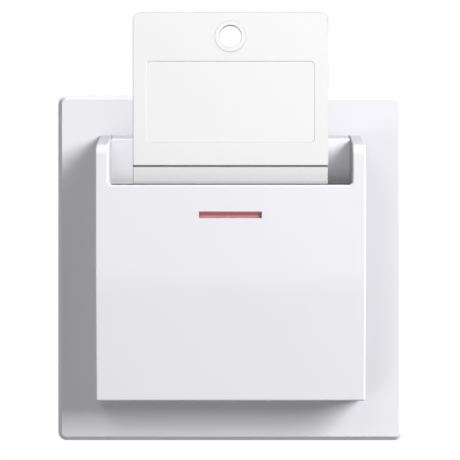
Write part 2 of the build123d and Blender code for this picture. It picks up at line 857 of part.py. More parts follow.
# Mechanism lid: closes the base, with openings for the peg and the light bar
with BuildPart() as mechanism_lid:
    with BuildSketch(Plane.XZ.offset(-lid_back_y)):
        RectangleRounded(mechanism_width, mechanism_width, mechanism_corner_radius)
    extrude(amount=lid_thickness)
    block(
        (-peg_half_length - slide_gap, peg_half_length + slide_gap),
        (lid_front_y - near, lid_back_y + near),
        (peg_z - peg_radius - slide_gap, -peg_z + peg_radius + slide_gap),
        mode=Mode.SUBTRACT,
    )
    block(
        (-light_bar_width / 2 - seat_gap, light_bar_width / 2 + seat_gap),
        (lid_front_y - near, lid_back_y + near),
        (lens_z - light_bar_height / 2 - seat_gap, lens_z + light_bar_height / 2 + seat_gap),
        mode=Mode.SUBTRACT,
    )
    block(
        (-spring_seat_width / 2, spring_seat_width / 2),
        (spring_y - spring_radius - spring_wire_radius, lid_front_y),
        (spring_seat_z - spring_seat_thickness, spring_seat_z),
    )
    with BuildSketch(Plane.XZ.offset(-lid_back_y)):
        with GridLocations(2 * lid_screw_place, 2 * lid_screw_place, 2, 2):
            Circle(lid_screw_radius + shaft_gap)
    extrude(amount=lid_thickness, mode=Mode.SUBTRACT)
save(mechanism_lid, "mechanism_lid")

# Lid screws
with BuildPart() as lid_screws:
    for side_x in (-1, 1):
        for side_z in (-1, 1):
            slotted_screw(
                (side_x * lid_screw_place, lid_front_y, side_z * lid_screw_place),
                (0, 1, 0),
                lid_screw_radius,
                lid_screw_length,
                lid_screw_head_radius,
                lid_screw_head_thickness,
            )
save(lid_screws, "lid_screws")

# Mechanism base: box that sits in the wall, with a flange on the support plate
with BuildPart() as mechanism_base:
    with BuildSketch(Plane.XZ.offset(-mechanism_back_y)):
        RectangleRounded(mechanism_width, mechanism_width, mechanism_corner_radius)
    extrude(amount=mechanism_back_y - lid_back_y)
    with BuildSketch(Plane.XZ.offset(-cavity_back_y)):
        Rectangle(2 * cavity_half, 2 * cavity_half)
    extrude(amount=cavity_back_y - lid_back_y, mode=Mode.SUBTRACT)
    with BuildSketch(Plane.XZ.offset(plate_thickness)):
        RectangleRounded(flange_width, flange_height, mechanism_corner_radius)
        Rectangle(2 * cavity_half, 2 * cavity_half, mode=Mode.SUBTRACT)
    extrude(amount=-flange_front_y - plate_thickness)
    post_start = cavity_half - post_width
    for side_x in (-1, 1):
        for side_z in (-1, 1):
            block(
                (side_x * post_start, side_x * (cavity_half + near)),
                (lid_back_y, lid_back_y + post_length),
                (side_z * post_start, side_z * (cavity_half + near)),
            )
            rod(
                (side_x * lid_screw_place, lid_back_y, side_z * lid_screw_place),
                (0, 1, 0),
                lid_screw_radius + press_gap,
                lid_screw_length,
                mode=Mode.SUBTRACT,
            )
            rod(
                (side_x * rivet_place_x, flange_front_y - near, side_z * rivet_place_z),
                (0, 1, 0),
                rivet_radius + shaft_gap,
                2 * plate_thickness,
                mode=Mode.SUBTRACT,
            )
        block(
            (side_x * bearing_x, side_x * (bearing_x + bearing_thickness)),
            (bearing_front_y, cavity_back_y),
            (-bearing_half_height, bearing_half_height),
        )
        rod(
            (side_x * bearing_x, pivot_y, 0),
            (side_x, 0, 0),
            axle_radius + shaft_gap,
            bearing_thickness,
            mode=Mode.SUBTRACT,
        )
        block(
            (side_x * board_post_x - board_post_width / 2, side_x * board_post_x + board_post_width / 2),
            (board_back_y, cavity_back_y),
            (board_post_z - board_post_width / 2, board_post_z + board_post_width / 2),
        )
    for terminal_x in terminal_places:
        rod(
            (terminal_x, cavity_back_y - near, wire_z),
            (0, 1, 0),
            wire_entry_radius,
            mechanism_wall + overrun,
            mode=Mode.SUBTRACT,
        )
        rod(
            (terminal_x, terminal_middle_y, -cavity_half),
            (0, 0, -1),
            terminal_screw_access_radius,
            mechanism_wall + overrun,
            mode=Mode.SUBTRACT,
        )
save(mechanism_base, "mechanism_base")

# Plate rivets: hold the base's flange on the support plate
with BuildPart() as plate_rivets:
    for side_x in (-1, 1):
        for side_z in (-1, 1):
            seat = (side_x * rivet_place_x, flange_front_y, side_z * rivet_place_z)
            rod(seat, (0, 1, 0), rivet_radius, -flange_front_y)
            rod(seat, (0, -1, 0), rivet_head_radius, rivet_head_thickness)
            tail = (side_x * rivet_place_x, 0, side_z * rivet_place_z)
            rod(tail, (0, 1, 0), (rivet_radius + rivet_head_radius) / 2, rivet_tail_thickness)
save(plate_rivets, "plate_rivets")

# Support plate: pressed steel, with slots for the box screws and lugs for the claws
with BuildPart() as support_plate:
    with BuildSketch(Plane.XZ):
        RectangleRounded(plate_width, plate_width, plate_corner_radius)
        opening = mechanism_width + 2 * plate_window_gap
        RectangleRounded(opening, opening, mechanism_corner_radius, mode=Mode.SUBTRACT)
        with GridLocations(box_screw_spacing, 0, 2, 1):
            SlotOverall(box_slot_length, 2 * box_slot_radius, mode=Mode.SUBTRACT)
        with GridLocations(2 * rivet_place_x, 2 * rivet_place_z, 2, 2):
            Circle(rivet_radius + shaft_gap, mode=Mode.SUBTRACT)
        with GridLocations(0, 2 * claw_screw_z, 1, 2):
            Circle(claw_screw_radius + shaft_gap, mode=Mode.SUBTRACT)
        hook_hole_middle = (hook_inner_x + hook_outer_x + hook_barb) / 2
        hook_hole_width = hook_thickness + hook_barb + 2 * slide_gap
        with GridLocations(2 * hook_hole_middle, 2 * hook_place_z, 2, 2):
            Rectangle(hook_hole_width, hook_width + 2 * slide_gap, mode=Mode.SUBTRACT)
    extrude(amount=plate_thickness)
    lug_inner_x = claw_half_width + claw_lug_gap
    for side_z in (-1, 1):
        for side_x in (-1, 1):
            block(
                (side_x * lug_inner_x, side_x * (lug_inner_x + claw_lug_thickness)),
                (-plate_thickness, claw_lug_depth),
                (
                    side_z * (claw_hinge_z - claw_lug_half_height),
                    side_z * (claw_hinge_z + claw_lug_half_height),
                ),
            )
            rod(
                (side_x * lug_inner_x, claw_hinge_y, side_z * claw_hinge_z),
                (side_x, 0, 0),
                claw_pin_radius + press_gap,
                claw_lug_thickness,
                mode=Mode.SUBTRACT,
            )
save(support_plate, "support_plate")

# Rocker: hub with a fork towards the peg and a tail that carries the contact
jaw_inner = peg_radius + fork_gap
jaw_outer = jaw_inner + fork_jaw_thickness
with BuildPart() as rocker:
    with BuildSketch(rocker_plane):
        Circle(rocker_hub_radius)
        with Locations(((peg_distance + fork_tip) / 2, 0)):
            Rectangle(peg_distance + fork_tip, 2 * jaw_outer)
        with Locations((-tail_length / 2, 0)):
            Rectangle(tail_length, tail_thickness)
        with Locations((peg_distance - fork_root, 0)):
            Rectangle(
                fork_root + overrun,
                2 * jaw_inner,
                align=(Align.MIN, Align.CENTER),
                mode=Mode.SUBTRACT,
            )
        Circle(axle_radius + press_gap, mode=Mode.SUBTRACT)
        with Locations((press_gap - blade_root, 0)):
            Rectangle(
                tail_length,
                blade_thickness + 2 * press_gap,
                align=(Align.MAX, Align.CENTER),
                mode=Mode.SUBTRACT,
            )
    extrude(amount=rocker_half_width, both=True)
save(rocker, "rocker")

# Rocker axle
with BuildPart() as rocker_axle:
    rod((-axle_half_length, pivot_y, 0), (1, 0, 0), axle_radius, 2 * axle_half_length)
save(rocker_axle, "rocker_axle")

# Moving contact: a blade in the rocker's tail, and its two silver tips
with BuildPart() as moving_contact:
    with BuildSketch(rocker_plane):
        with Locations((-(blade_root + blade_reach) / 2, 0)):
            Rectangle(blade_reach - blade_root, blade_thickness)
    extrude(amount=blade_half_width, both=True)
save(moving_contact, "moving_contact")

with BuildPart() as moving_tips:
    for side in (-1, 1):
        y_place, z_place = in_rocker(-tip_reach, side * blade_thickness / 2)
        normal = rocker_plane.y_dir * side
        rod((0, y_place, z_place), normal, tip_radius, tip_thickness)
save(moving_tips, "moving_contact_tips")

# Fixed contacts: the on contact over the blade, the off contact under it
tip_face = blade_thickness / 2 + tip_thickness + contact_gap
pad_face = tip_face + tip_thickness
for contact_name, side in (("on_contact", 1), ("off_contact", -1)):
    tilt_plane = Plane(
        origin=(0, pivot_y, 0),
        x_dir=(0, -cos(rest_tilt), -side * sin(rest_tilt)),
        z_dir=(-side, 0, 0),
    )
    with BuildPart() as contact_tip:
        start = tilt_plane.from_local_coords((-tip_reach, tip_face, 0))
        rod(start, tilt_plane.y_dir, tip_radius, tip_thickness)
    save(contact_tip, contact_name + "_tip")
    with BuildPart() as contact_strip:
        with BuildSketch(tilt_plane):
            with Locations((-(contact_pad_start + contact_pad_end) / 2, pad_face + strip_thickness / 2)):
                Rectangle(contact_pad_end - contact_pad_start, strip_thickness)
        extrude(amount=strip_half_width, both=True)
        bar_z = (side * contact_bar_z, side * (contact_bar_z + strip_thickness))
        bar_y = (contact_bar_y - strip_half_width, contact_bar_y + strip_thickness)
        leg_y = (contact_bar_y, contact_bar_y + strip_thickness)
        if side > 0:
            leg_span = (terminal_load_x - strip_half_width, terminal_load_x + strip_half_width)
            block((-strip_half_width, leg_span[1]), bar_y, bar_z)
            block(
                leg_span,
                leg_y,
                (terminal_top_z, contact_bar_z + strip_thickness),
            )
        else:
            leg_span = (-lamp_strip_x - strip_half_width / 2, -lamp_strip_x + strip_half_width / 2)
            block((leg_span[0], strip_half_width), bar_y, bar_z)
            block(leg_span, leg_y, (-contact_bar_z - strip_thickness, board_bottom_z + strip_half_width))
            block(
                leg_span,
                (board_back_y, contact_bar_y + strip_thickness),
                (board_bottom_z + strip_half_width - strip_thickness, board_bottom_z + strip_half_width),
            )
    save(contact_strip, contact_name)

# Common contact: a bracket that carries the axle and feeds the rocker from the line terminal
with BuildPart() as common_contact:
    bridge_span = (-bracket_bridge_drop, strip_thickness - bracket_bridge_drop)
    ear_span_y = (pivot_y - bracket_ear_half_width, pivot_y + bracket_ear_half_width)
    ear_outer_x = bracket_ear_x + bracket_ear_thickness
    for side_x in (-1, 1):
        block(
            (side_x * bracket_ear_x, side_x * ear_outer_x),
            ear_span_y,
            (-bracket_bridge_drop, bracket_ear_half_width),
        )
        rod(
            (side_x * (bracket_ear_x - near), pivot_y, 0),
            (side_x, 0, 0),
            axle_radius + shaft_gap,
            bracket_ear_thickness + 2 * near,
            mode=Mode.SUBTRACT,
        )
    line_x = (terminal_line_x - strip_half_width, terminal_line_x + strip_half_width)
    block((line_x[0], ear_outer_x), ear_span_y, bridge_span)
    block(line_x, (ear_span_y[0], terminal_front_y + 2 * strip_half_width), bridge_span)
    block(
        line_x,
        (terminal_front_y + strip_half_width, terminal_front_y + strip_half_width + strip_thickness),
        (terminal_top_z, bridge_span[1]),
    )
save(common_contact, "common_contact")

# Terminals: blocks with a wire hole from the back and a clamping screw from below
screw_tip_z = wire_z - wire_radius / 2
terminal_names = ("terminal_line", "terminal_neutral", "terminal_load")
for middle_x, terminal_name in zip(terminal_places, terminal_names):
    with BuildPart() as terminal:
        block(
            (middle_x - terminal_width / 2, middle_x + terminal_width / 2),
            (terminal_front_y, terminal_back_y),
            (terminal_bottom_z, terminal_top_z),
        )
        rod(
            (middle_x, terminal_back_y, wire_z),
            (0, -1, 0),
            wire_radius,
            terminal_back_y - terminal_front_y,
            mode=Mode.SUBTRACT,
        )
        rod(
            (middle_x, terminal_middle_y, terminal_bottom_z),
            (0, 0, 1),
            terminal_screw_radius + press_gap,
            wire_z - terminal_bottom_z,
            mode=Mode.SUBTRACT,
        )
    save(terminal, terminal_name)

with BuildPart() as terminal_screws:
    for terminal_x in terminal_places:
        slotted_screw(
            (terminal_x, terminal_middle_y, terminal_bottom_z - seat_gap),
            (0, 0, 1),
            terminal_screw_radius,
            screw_tip_z - terminal_bottom_z,
            terminal_screw_head_radius,
            terminal_screw_head_thickness,
        )
save(terminal_screws, "terminal_screws")

# Neutral strip: from the middle terminal up to the lamp board
neutral_y = contact_bar_y + 2 * strip_thickness + slide_gap
with BuildPart() as neutral_strip:
    half = strip_half_width / 2
    neutral_top_z = board_bottom_z + strip_half_width
    block(
        (terminal_neutral_x - half, half),
        (terminal_middle_y, neutral_y + strip_thickness),
        (terminal_top_z, terminal_top_z + strip_thickness),
    )
    block(
        (-half, half),
        (neutral_y, neutral_y + strip_thickness),
        (terminal_top_z, neutral_top_z),
    )
    block(
        (-half, half),
        (board_back_y, neutral_y + strip_thickness),
        (neutral_top_z - strip_thickness, neutral_top_z),
    )
save(neutral_strip, "neutral_strip")

# Lamp tube: a glass tube behind the light bar
with BuildPart() as lamp_tube:
    rod((-lamp_length / 2, lamp_y, lens_z), (1, 0, 0), lamp_radius, lamp_length)
    rod(
        (-lamp_length / 2 + lamp_wall, lamp_y, lens_z),
        (1, 0, 0),
        lamp_radius - lamp_wall,
        lamp_length - lamp_wall,
        mode=Mode.SUBTRACT,
    )
save(lamp_tube, "lamp_tube")

# Lamp leads: two electrodes in the tube that run back into the board
with BuildPart() as lamp_leads:
    for side in (-1, 1):
        lead_y = lamp_y + side * (lamp_radius - lamp_wall) / 2
        lead_end_x = lamp_length / 2 + lamp_wall + (2 - side) * 2 * lead_radius
        lead_z = (lens_z - lead_radius, lens_z + lead_radius)
        block((0, lead_end_x), (lead_y - lead_radius, lead_y + lead_radius), lead_z)
        block(
            (lead_end_x - 2 * lead_radius, lead_end_x),
            (lead_y - lead_radius, board_front_y),
            lead_z,
        )
save(lamp_leads, "lamp_leads")

# Lamp board and its resistor
with BuildPart() as lamp_board:
    block(
        (-board_half_width, board_half_width),
        (board_front_y, board_back_y),
        (board_bottom_z, board_top_z),
    )
save(lamp_board, "lamp_board")

with BuildPart() as lamp_resistor:
    rod((-resistor_length / 2, resistor_y, resistor_z), (1, 0, 0), resistor_radius, resistor_length)
    wire_half = resistor_length / 2 + resistor_wire_overhang
    rod((-wire_half, resistor_y, resistor_z), (1, 0, 0), lead_radius, 2 * wire_half)
    for side in (-1, 1):
        rod(
            (side * (wire_half - lead_radius), resistor_y, resistor_z),
            (0, 1, 0),
            lead_radius,
            board_front_y - resistor_y,
        )
save(lamp_resistor, "lamp_resistor")

# Claws: each hangs on a pin in the plate's lugs and is drawn out by its screw
for claw_name, side_z in (("upper", 1), ("lower", -1)):
    claw_inner_z = side_z * (claw_hinge_z - claw_thickness / 2)
    claw_outer_z = side_z * (claw_hinge_z + claw_thickness / 2)
    with BuildPart() as claw:
        rod(
            (-claw_half_width, claw_hinge_y, side_z * claw_hinge_z),
            (1, 0, 0),
            claw_knuckle_radius,
            2 * claw_half_width,
        )
        block(
            (-claw_half_width, claw_half_width),
            (claw_hinge_y, claw_end_y),
            (claw_inner_z, claw_outer_z),
        )
        for side_x in (-1, 1):
            block(
                (side_x * claw_half_width / 3, side_x * claw_half_width),
                (claw_end_y - claw_thickness, claw_end_y),
                (claw_outer_z, claw_outer_z + side_z * claw_tooth_height),
            )
        block(
            (-claw_half_width, claw_half_width),
            (claw_tab_y, claw_tab_y + claw_thickness),
            (claw_outer_z, side_z * claw_tab_top_z),
        )
        slot_half = claw_screw_radius + claw_slot_gap
        block(
            (-slot_half, slot_half),
            (claw_tab_y - near, claw_tab_y + claw_thickness + near),
            (side_z * claw_slot_start_z, side_z * (claw_tab_top_z + overrun)),
            mode=Mode.SUBTRACT,
        )
        rod(
            (-claw_half_width, claw_hinge_y, side_z * claw_hinge_z),
            (1, 0, 0),
            claw_pin_radius + shaft_gap,
            2 * claw_half_width,
            mode=Mode.SUBTRACT,
        )
    save(claw, "claw_" + claw_name)

    pin_half = claw_half_width + claw_lug_gap + claw_lug_thickness
    with BuildPart() as claw_pin:
        rod((-pin_half, claw_hinge_y, side_z * claw_hinge_z), (1, 0, 0), claw_pin_radius, 2 * pin_half)
    save(claw_pin, "claw_pin_" + claw_name)

    with BuildPart() as claw_screw:
        slotted_screw(
            (0, -plate_thickness - seat_gap, side_z * claw_screw_z),
            (0, 1, 0),
            claw_screw_radius,
            claw_screw_tip_y + plate_thickness,
            claw_screw_head_radius,
            claw_screw_head_thickness,
        )
    save(claw_screw, "claw_screw_" + claw_name)
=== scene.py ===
import json
import math

import bmesh
import bpy
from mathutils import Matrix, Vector


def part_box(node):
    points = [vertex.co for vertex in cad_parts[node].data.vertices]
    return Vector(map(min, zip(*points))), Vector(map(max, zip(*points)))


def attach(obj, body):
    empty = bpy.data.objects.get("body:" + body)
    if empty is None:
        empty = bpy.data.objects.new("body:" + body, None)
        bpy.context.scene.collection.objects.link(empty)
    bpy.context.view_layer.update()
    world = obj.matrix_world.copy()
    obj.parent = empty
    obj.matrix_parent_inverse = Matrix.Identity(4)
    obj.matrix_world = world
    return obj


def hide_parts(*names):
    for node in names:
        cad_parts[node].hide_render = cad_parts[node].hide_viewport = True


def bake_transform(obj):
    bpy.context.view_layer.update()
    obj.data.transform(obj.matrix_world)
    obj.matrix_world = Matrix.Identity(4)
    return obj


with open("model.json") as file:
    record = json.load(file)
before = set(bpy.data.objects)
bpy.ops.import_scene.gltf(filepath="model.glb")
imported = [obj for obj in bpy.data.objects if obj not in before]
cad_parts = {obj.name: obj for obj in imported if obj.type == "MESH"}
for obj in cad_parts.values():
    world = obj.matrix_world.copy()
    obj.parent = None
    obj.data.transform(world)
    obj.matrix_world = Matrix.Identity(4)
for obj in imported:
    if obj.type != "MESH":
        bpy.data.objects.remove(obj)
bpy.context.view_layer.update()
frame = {"nodes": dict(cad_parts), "record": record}

MM = 0.001

cad = frame["nodes"]
scene = bpy.context.scene
body_of_node = {
    node: body
    for body, members in frame["record"]["behaviour"]["bodies"].items()
    for node in members
}


def linear(hex_colour):
    """Turn an sRGB hex colour into a linear colour with full alpha."""
    parts = [int(hex_colour[at:at + 2], 16) / 255 for at in (1, 3, 5)]
    return tuple(c / 12.92 if c <= 0.04045 else ((c + 0.055) / 1.055) ** 2.4 for c in parts) + (1.0,)


def add(tree, kind, sockets=None, **settings):
    """Add a node with its settings; a socket takes a value, another node's output, or a list of them."""
    made = tree.nodes.new(kind)
    for name, value in settings.items():
        setattr(made, name, value)
    for key, value in (sockets or {}).items():
        if isinstance(value, (bpy.types.NodeSocket, list)):
            for source in value if isinstance(value, list) else [value]:
                tree.links.new(source, made.inputs[key])
        else:
            made.inputs[key].default_value = value
    return made


def per_feature(size_mm):
    """Give the texture scale at which one feature of a pattern is this many millimetres."""
    return 1 / (size_mm * MM)


BAND_PERIOD = math.pi / 10      # a wave texture repeats after this many of its own units


def per_band(size_mm):
    """Give the scale of a wave texture whose bands are this many millimetres apart."""
    return per_feature(size_mm) * BAND_PERIOD


NOISE_LOW, NOISE_HIGH = 0.3, 0.7      # nearly all of a noise lies between these


# Materials: each starts with its tree and its Object coordinates, and ends with its surface
def start_material(name):
    """Start a material and give its tree and the place of each point on the object."""
    material = bpy.data.materials.new(name)
    material.use_nodes = True
    material.node_tree.nodes.clear()
    place = add(material.node_tree, "ShaderNodeTexCoord").outputs["Object"]
    return material, material.node_tree, place


def moulded_plastic(name, light, dark, roughness, cloud_mm, grain_mm, grain_depth_mm, ior):
    """A moulded plastic: faint clouds in its colour, and the fine grain of its mould in its gloss."""
    material, tree, place = start_material(name)
    clouds = add(
        tree,
        "ShaderNodeTexNoise",
        {"Vector": place, "Scale": per_feature(cloud_mm), "Detail": 2.0, "Roughness": 0.5},
    )
    grain = add(
        tree,
        "ShaderNodeTexNoise",
        {"Vector": place, "Scale": per_feature(grain_mm), "Detail": 2.0, "Roughness": 0.6},
    )
    tint = add(
        tree,
        "ShaderNodeMix",
        {0: clouds.outputs["Fac"], 6: linear(dark), 7: linear(light)},
        data_type="RGBA",
    )
    gloss = add(
        tree,
        "ShaderNodeMapRange",
        {0: grain.outputs["Fac"], 1: NOISE_LOW, 2: NOISE_HIGH, 3: roughness * 0.94, 4: roughness * 1.06},
    )
    relief = add(
        tree, "ShaderNodeBump", {"Height": grain.outputs["Fac"], "Distance": grain_depth_mm * MM}
    )
    surface = add(
        tree,
        "ShaderNodeBsdfPrincipled",
        {"Base Color": tint.outputs[2], "Roughness": gloss.outputs[0], "Normal": relief.outputs[0],
         "IOR": ior},
    )
    add(tree, "ShaderNodeOutputMaterial", {"Surface": surface.outputs[0]})
    return material


# Polished ABS: a cool white with a soft sheen that stays clean on its flat faces.
# The real mould grain is under 0.1 mm, so it is drawn at 0.6 mm to show at all.
white_abs = moulded_plastic(
    "moulded_abs_white", "#edecf1", "#ebeaef",
    roughness=0.38, cloud_mm=18, grain_mm=0.6, grain_depth_mm=0.0006, ior=1.53,
)

# The same ABS painted dark grey along the mouth's lip: painted shade, the dark line where the slot lies in
# shade.
lip_painted_shade_abs = moulded_plastic(
    "moulded_abs_rubbed_grey", "#3c3c3e", "#343436",
    roughness=0.7, cloud_mm=3, grain_mm=0.5, grain_depth_mm=0.002, ior=1.53,
)

# Glass-filled polyamide: a warm light grey, matt, with cloudy flow from the moulding.
grey_polyamide = moulded_plastic(
    "glass_filled_polyamide", "#d8d8d3", "#cfcfc9",
    roughness=0.52, cloud_mm=6, grain_mm=0.45, grain_depth_mm=0.006, ior=1.53,
)

# Acetal for what slides and turns: a dense orange with a waxy gloss.
orange_acetal = moulded_plastic(
    "acetal_orange", "#d27a33", "#c26827",
    roughness=0.38, cloud_mm=5, grain_mm=0.4, grain_depth_mm=0.002, ior=1.48,
)

# Polypropylene eyelet: the whitest piece, polished all over.
white_polypropylene = moulded_plastic(
    "polypropylene_white", "#f5f5f5", "#f2f2f2",
    roughness=0.26, cloud_mm=5, grain_mm=0.5, grain_depth_mm=0.0004, ior=1.49,
)

# Coated paper under the card's window: the same white with a softer, more matt surface.
paper_insert = moulded_plastic(
    "coated_paper_insert", "#f1f1f1", "#efefef",
    roughness=0.5, cloud_mm=8, grain_mm=0.5, grain_depth_mm=0.0006, ior=1.5,
)


POLISHED_DEPTH = 0.0003 * MM    # what is left of the grain on a polished face


def toned_plastic(name, tones, roughness, cloud_mm, fine_mm, ior):
    """A plastic whose tone, painted light and shade, changes with height: each tone is a height in
    millimetres and a colour.
    """
    material, tree, place = start_material(name)
    clouds, fine = (
        add(tree, "ShaderNodeTexNoise", {"Vector": place, "Scale": per_feature(size_mm), "Detail": 2.0})
        for size_mm in (cloud_mm, fine_mm)
    )
    apart = add(tree, "ShaderNodeSeparateXYZ", {"Vector": place})
    foot, top = tones[0][0], tones[-1][0]
    share = add(tree, "ShaderNodeMapRange", {0: apart.outputs["Z"], 1: foot * MM, 2: top * MM})
    painted_tone_by_height = add(tree, "ShaderNodeValToRGB", {"Fac": share.outputs[0]})
    ramp = painted_tone_by_height.color_ramp.elements
    ramp[0].color, ramp[1].color = linear(tones[0][1]), linear(tones[-1][1])
    for height, colour in tones[1:-1]:
        ramp.new((height - foot) / (top - foot)).color = linear(colour)
    cloud = add(tree, "ShaderNodeMapRange", {0: clouds.outputs["Fac"], 3: 0.985, 4: 1.0})
    tint = add(
        tree,
        "ShaderNodeVectorMath",
        {0: painted_tone_by_height.outputs["Color"], "Scale": cloud.outputs[0]},
        operation="SCALE",
    )
    gloss = add(
        tree, "ShaderNodeMapRange", {0: fine.outputs["Fac"], 3: roughness * 0.9, 4: roughness * 1.1}
    )
    relief = add(tree, "ShaderNodeBump", {"Height": fine.outputs["Fac"], "Distance": POLISHED_DEPTH})
    surface = add(
        tree,
        "ShaderNodeBsdfPrincipled",
        {"Base Color": tint.outputs[0], "Roughness": gloss.outputs[0], "Normal": relief.outputs[0],
         "IOR": ior},
    )
    add(tree, "ShaderNodeOutputMaterial", {"Surface": surface.outputs[0]})
    return material


# Laminated PVC: smooth and nearly white, its tone painted by height: painted shade greys the tongue near
# the mouth, and a painted shadow line, with a painted highlight just below it, lies under the head's step.
pvc_card_painted_shade = toned_plastic(
    "laminated_pvc_card",
    (
        (-25.9, "#e6e6e6"), (17.5, "#e4e4e4"),                            # the tongue in the pocket
        (19.7, "#c9c9c9"), (20.05, "#cacaca"), (20.55, "#e3e3e3"),        # painted shade at the mouth's lip
        (21.6, "#e3e3e3"), (22.5, "#e8e8e8"), (23.64, "#e9e9e9"),         # the painted shade fading above the mouth
        (23.8, "#f8f8f8"), (23.88, "#f8f8f8"),                            # a painted highlight at the foot of the step
        (23.93, "#a6a6a6"), (24.09, "#a4a4a4"),                           # a painted shadow line under the step
        (24.12, "#efefef"), (59.7, "#f2f2f2"),                            # the head
    ),
    roughness=0.34, cloud_mm=14, fine_mm=0.6, ior=1.54,
)

# The ABS of the pocket's back panel, its tone painted by height: painted shade darkens it inside the
# pocket and at the mouth, and painted light makes it nearly white towards the top.
guide_abs_painted_shade = toned_plastic(
    "moulded_abs_polished_by_cards",
    (
        (-28.0, "#d9d8dd"), (20.6, "#dad9de"),                            # painted shade inside the pocket
        (21.2, "#e5e4e9"), (21.8, "#ebeaef"), (23.2, "#f2f1f6"),          # the painted shade fading out of the mouth
        (26.0, "#f5f4f9"), (31.7, "#f8f7fc"),                             # painted light, nearly white towards the top
    ),
    roughness=0.36, cloud_mm=18, fine_mm=0.6, ior=1.53,
)


def card_edge():
    """The punched edge of the laminate, greyer as painted shade that draws the card's outline, with the
    fine lines of its layers 0.2 mm apart.
    """
    material, tree, place = start_material("laminated_pvc_edge")
    layers = add(
        tree,
        "ShaderNodeTexWave",
        {"Vector": place, "Scale": per_band(0.2), "Distortion": 0.4},
        wave_type="BANDS",
        bands_direction="Y",
    )
    tint = add(
        tree,
        "ShaderNodeMix",
        {0: layers.outputs["Fac"], 6: linear("#b2b2b4"), 7: linear("#bebec0")},
        data_type="RGBA",
    )
    relief = add(tree, "ShaderNodeBump", {"Height": layers.outputs["Fac"], "Distance": 0.01 * MM})
    surface = add(
        tree,
        "ShaderNodeBsdfPrincipled",
        {"Base Color": tint.outputs[2], "Normal": relief.outputs[0], "Roughness": 0.6, "IOR": 1.54},
    )
    add(tree, "ShaderNodeOutputMaterial", {"Surface": surface.outputs[0]})
    return material


def red_polycarbonate():
    """Tinted polycarbonate, finely fluted, its red painted by height: pale painted light at its upper edge
    against the recess's shadow, a crimson band of painted shade, and pink at its foot.
    """
    material, tree, place = start_material("tinted_polycarbonate_red")
    flutes = add(
        tree,
        "ShaderNodeTexWave",
        {"Vector": place, "Scale": per_band(0.9)},
        wave_type="BANDS",
        bands_direction="X",
    )
    clouds = add(tree, "ShaderNodeTexNoise", {"Vector": place, "Scale": per_feature(5), "Detail": 2.0})
    apart = add(tree, "ShaderNodeSeparateXYZ", {"Vector": place})
    low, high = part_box("indicator_lens")
    middle, half_face, drift = (low.z + high.z) / 2, 0.75 * MM, 0.1 * MM
    uneven = add(tree, "ShaderNodeMath", {0: clouds.outputs["Fac"], 1: drift}, operation="MULTIPLY")
    height = add(
        tree, "ShaderNodeMath", {0: apart.outputs["Z"], 1: uneven.outputs[0]}, operation="ADD"
    )
    share = add(
        tree,
        "ShaderNodeMapRange",
        {0: height.outputs[0], 1: middle - half_face, 2: middle + half_face},
    )
    # The ramp paints the lens's light and shade by height, from the pink foot through crimson to the pale
    # top.
    depth = add(tree, "ShaderNodeValToRGB", {"Fac": share.outputs[0]})
    depth.color_ramp.elements[0].color = linear("#f2bcbc")
    depth.color_ramp.elements[1].color = linear("#f6d4d0")
    for position, colour in (
        (0.14, "#eca6a8"), (0.25, "#e08c8f"), (0.42, "#d6747a"), (0.56, "#bd5a60"), (0.68, "#b05a5e"),
        (0.76, "#c48482"), (0.86, "#f2c8c4"),
    ):
        depth.color_ramp.elements.new(position).color = linear(colour)
    gloss = add(tree, "ShaderNodeMapRange", {0: clouds.outputs["Fac"], 3: 0.22, 4: 0.32})
    relief = add(
        tree,
        "ShaderNodeBump",
        {"Height": flutes.outputs["Fac"], "Distance": 0.004 * MM, "Strength": 0.5},
    )
    surface = add(
        tree,
        "ShaderNodeBsdfPrincipled",
        {"Base Color": depth.outputs["Color"], "Roughness": gloss.outputs[0],
         "Normal": relief.outputs[0], "IOR": 1.585, "Transmission Weight": 0.15},
    )
    add(tree, "ShaderNodeOutputMaterial", {"Surface": surface.outputs[0]})
    return material


ALONG_FLOW = (0.2, 1.0, 1.0)    # a flow line is five times as long as it is wide


def clear_material(name, tint, roughness, ior, streak_mm):
    """A clear moulding or glass: nearly colourless, with faint flow lines along its length."""
    material, tree, place = start_material(name)
    along = add(tree, "ShaderNodeMapping", {"Vector": place, "Scale": ALONG_FLOW})
    lines = add(
        tree,
        "ShaderNodeTexNoise",
        {"Vector": along.outputs["Vector"], "Scale": per_feature(streak_mm), "Detail": 2.0},
    )
    colour = add(
        tree,
        "ShaderNodeMix",
        {0: lines.outputs["Fac"], 6: linear(tint), 7: linear("#fbfcfd")},
        data_type="RGBA",
    )
    gloss = add(tree, "ShaderNodeMapRange", {0: lines.outputs["Fac"], 3: roughness, 4: 2 * roughness})
    relief = add(
        tree,
        "ShaderNodeBump",
        {"Height": lines.outputs["Fac"], "Distance": 0.002 * MM, "Strength": 0.4},
    )
    surface = add(
        tree,
        "ShaderNodeBsdfPrincipled",
        {"Base Color": colour.outputs[2], "Roughness": gloss.outputs[0], "Normal": relief.outputs[0],
         "IOR": ior, "Transmission Weight": 1.0},
    )
    add(tree, "ShaderNodeOutputMaterial", {"Surface": surface.outputs[0]})
    return material


BATH_PATCH_MM = 5               # patches that the plating bath or the rolling leaves


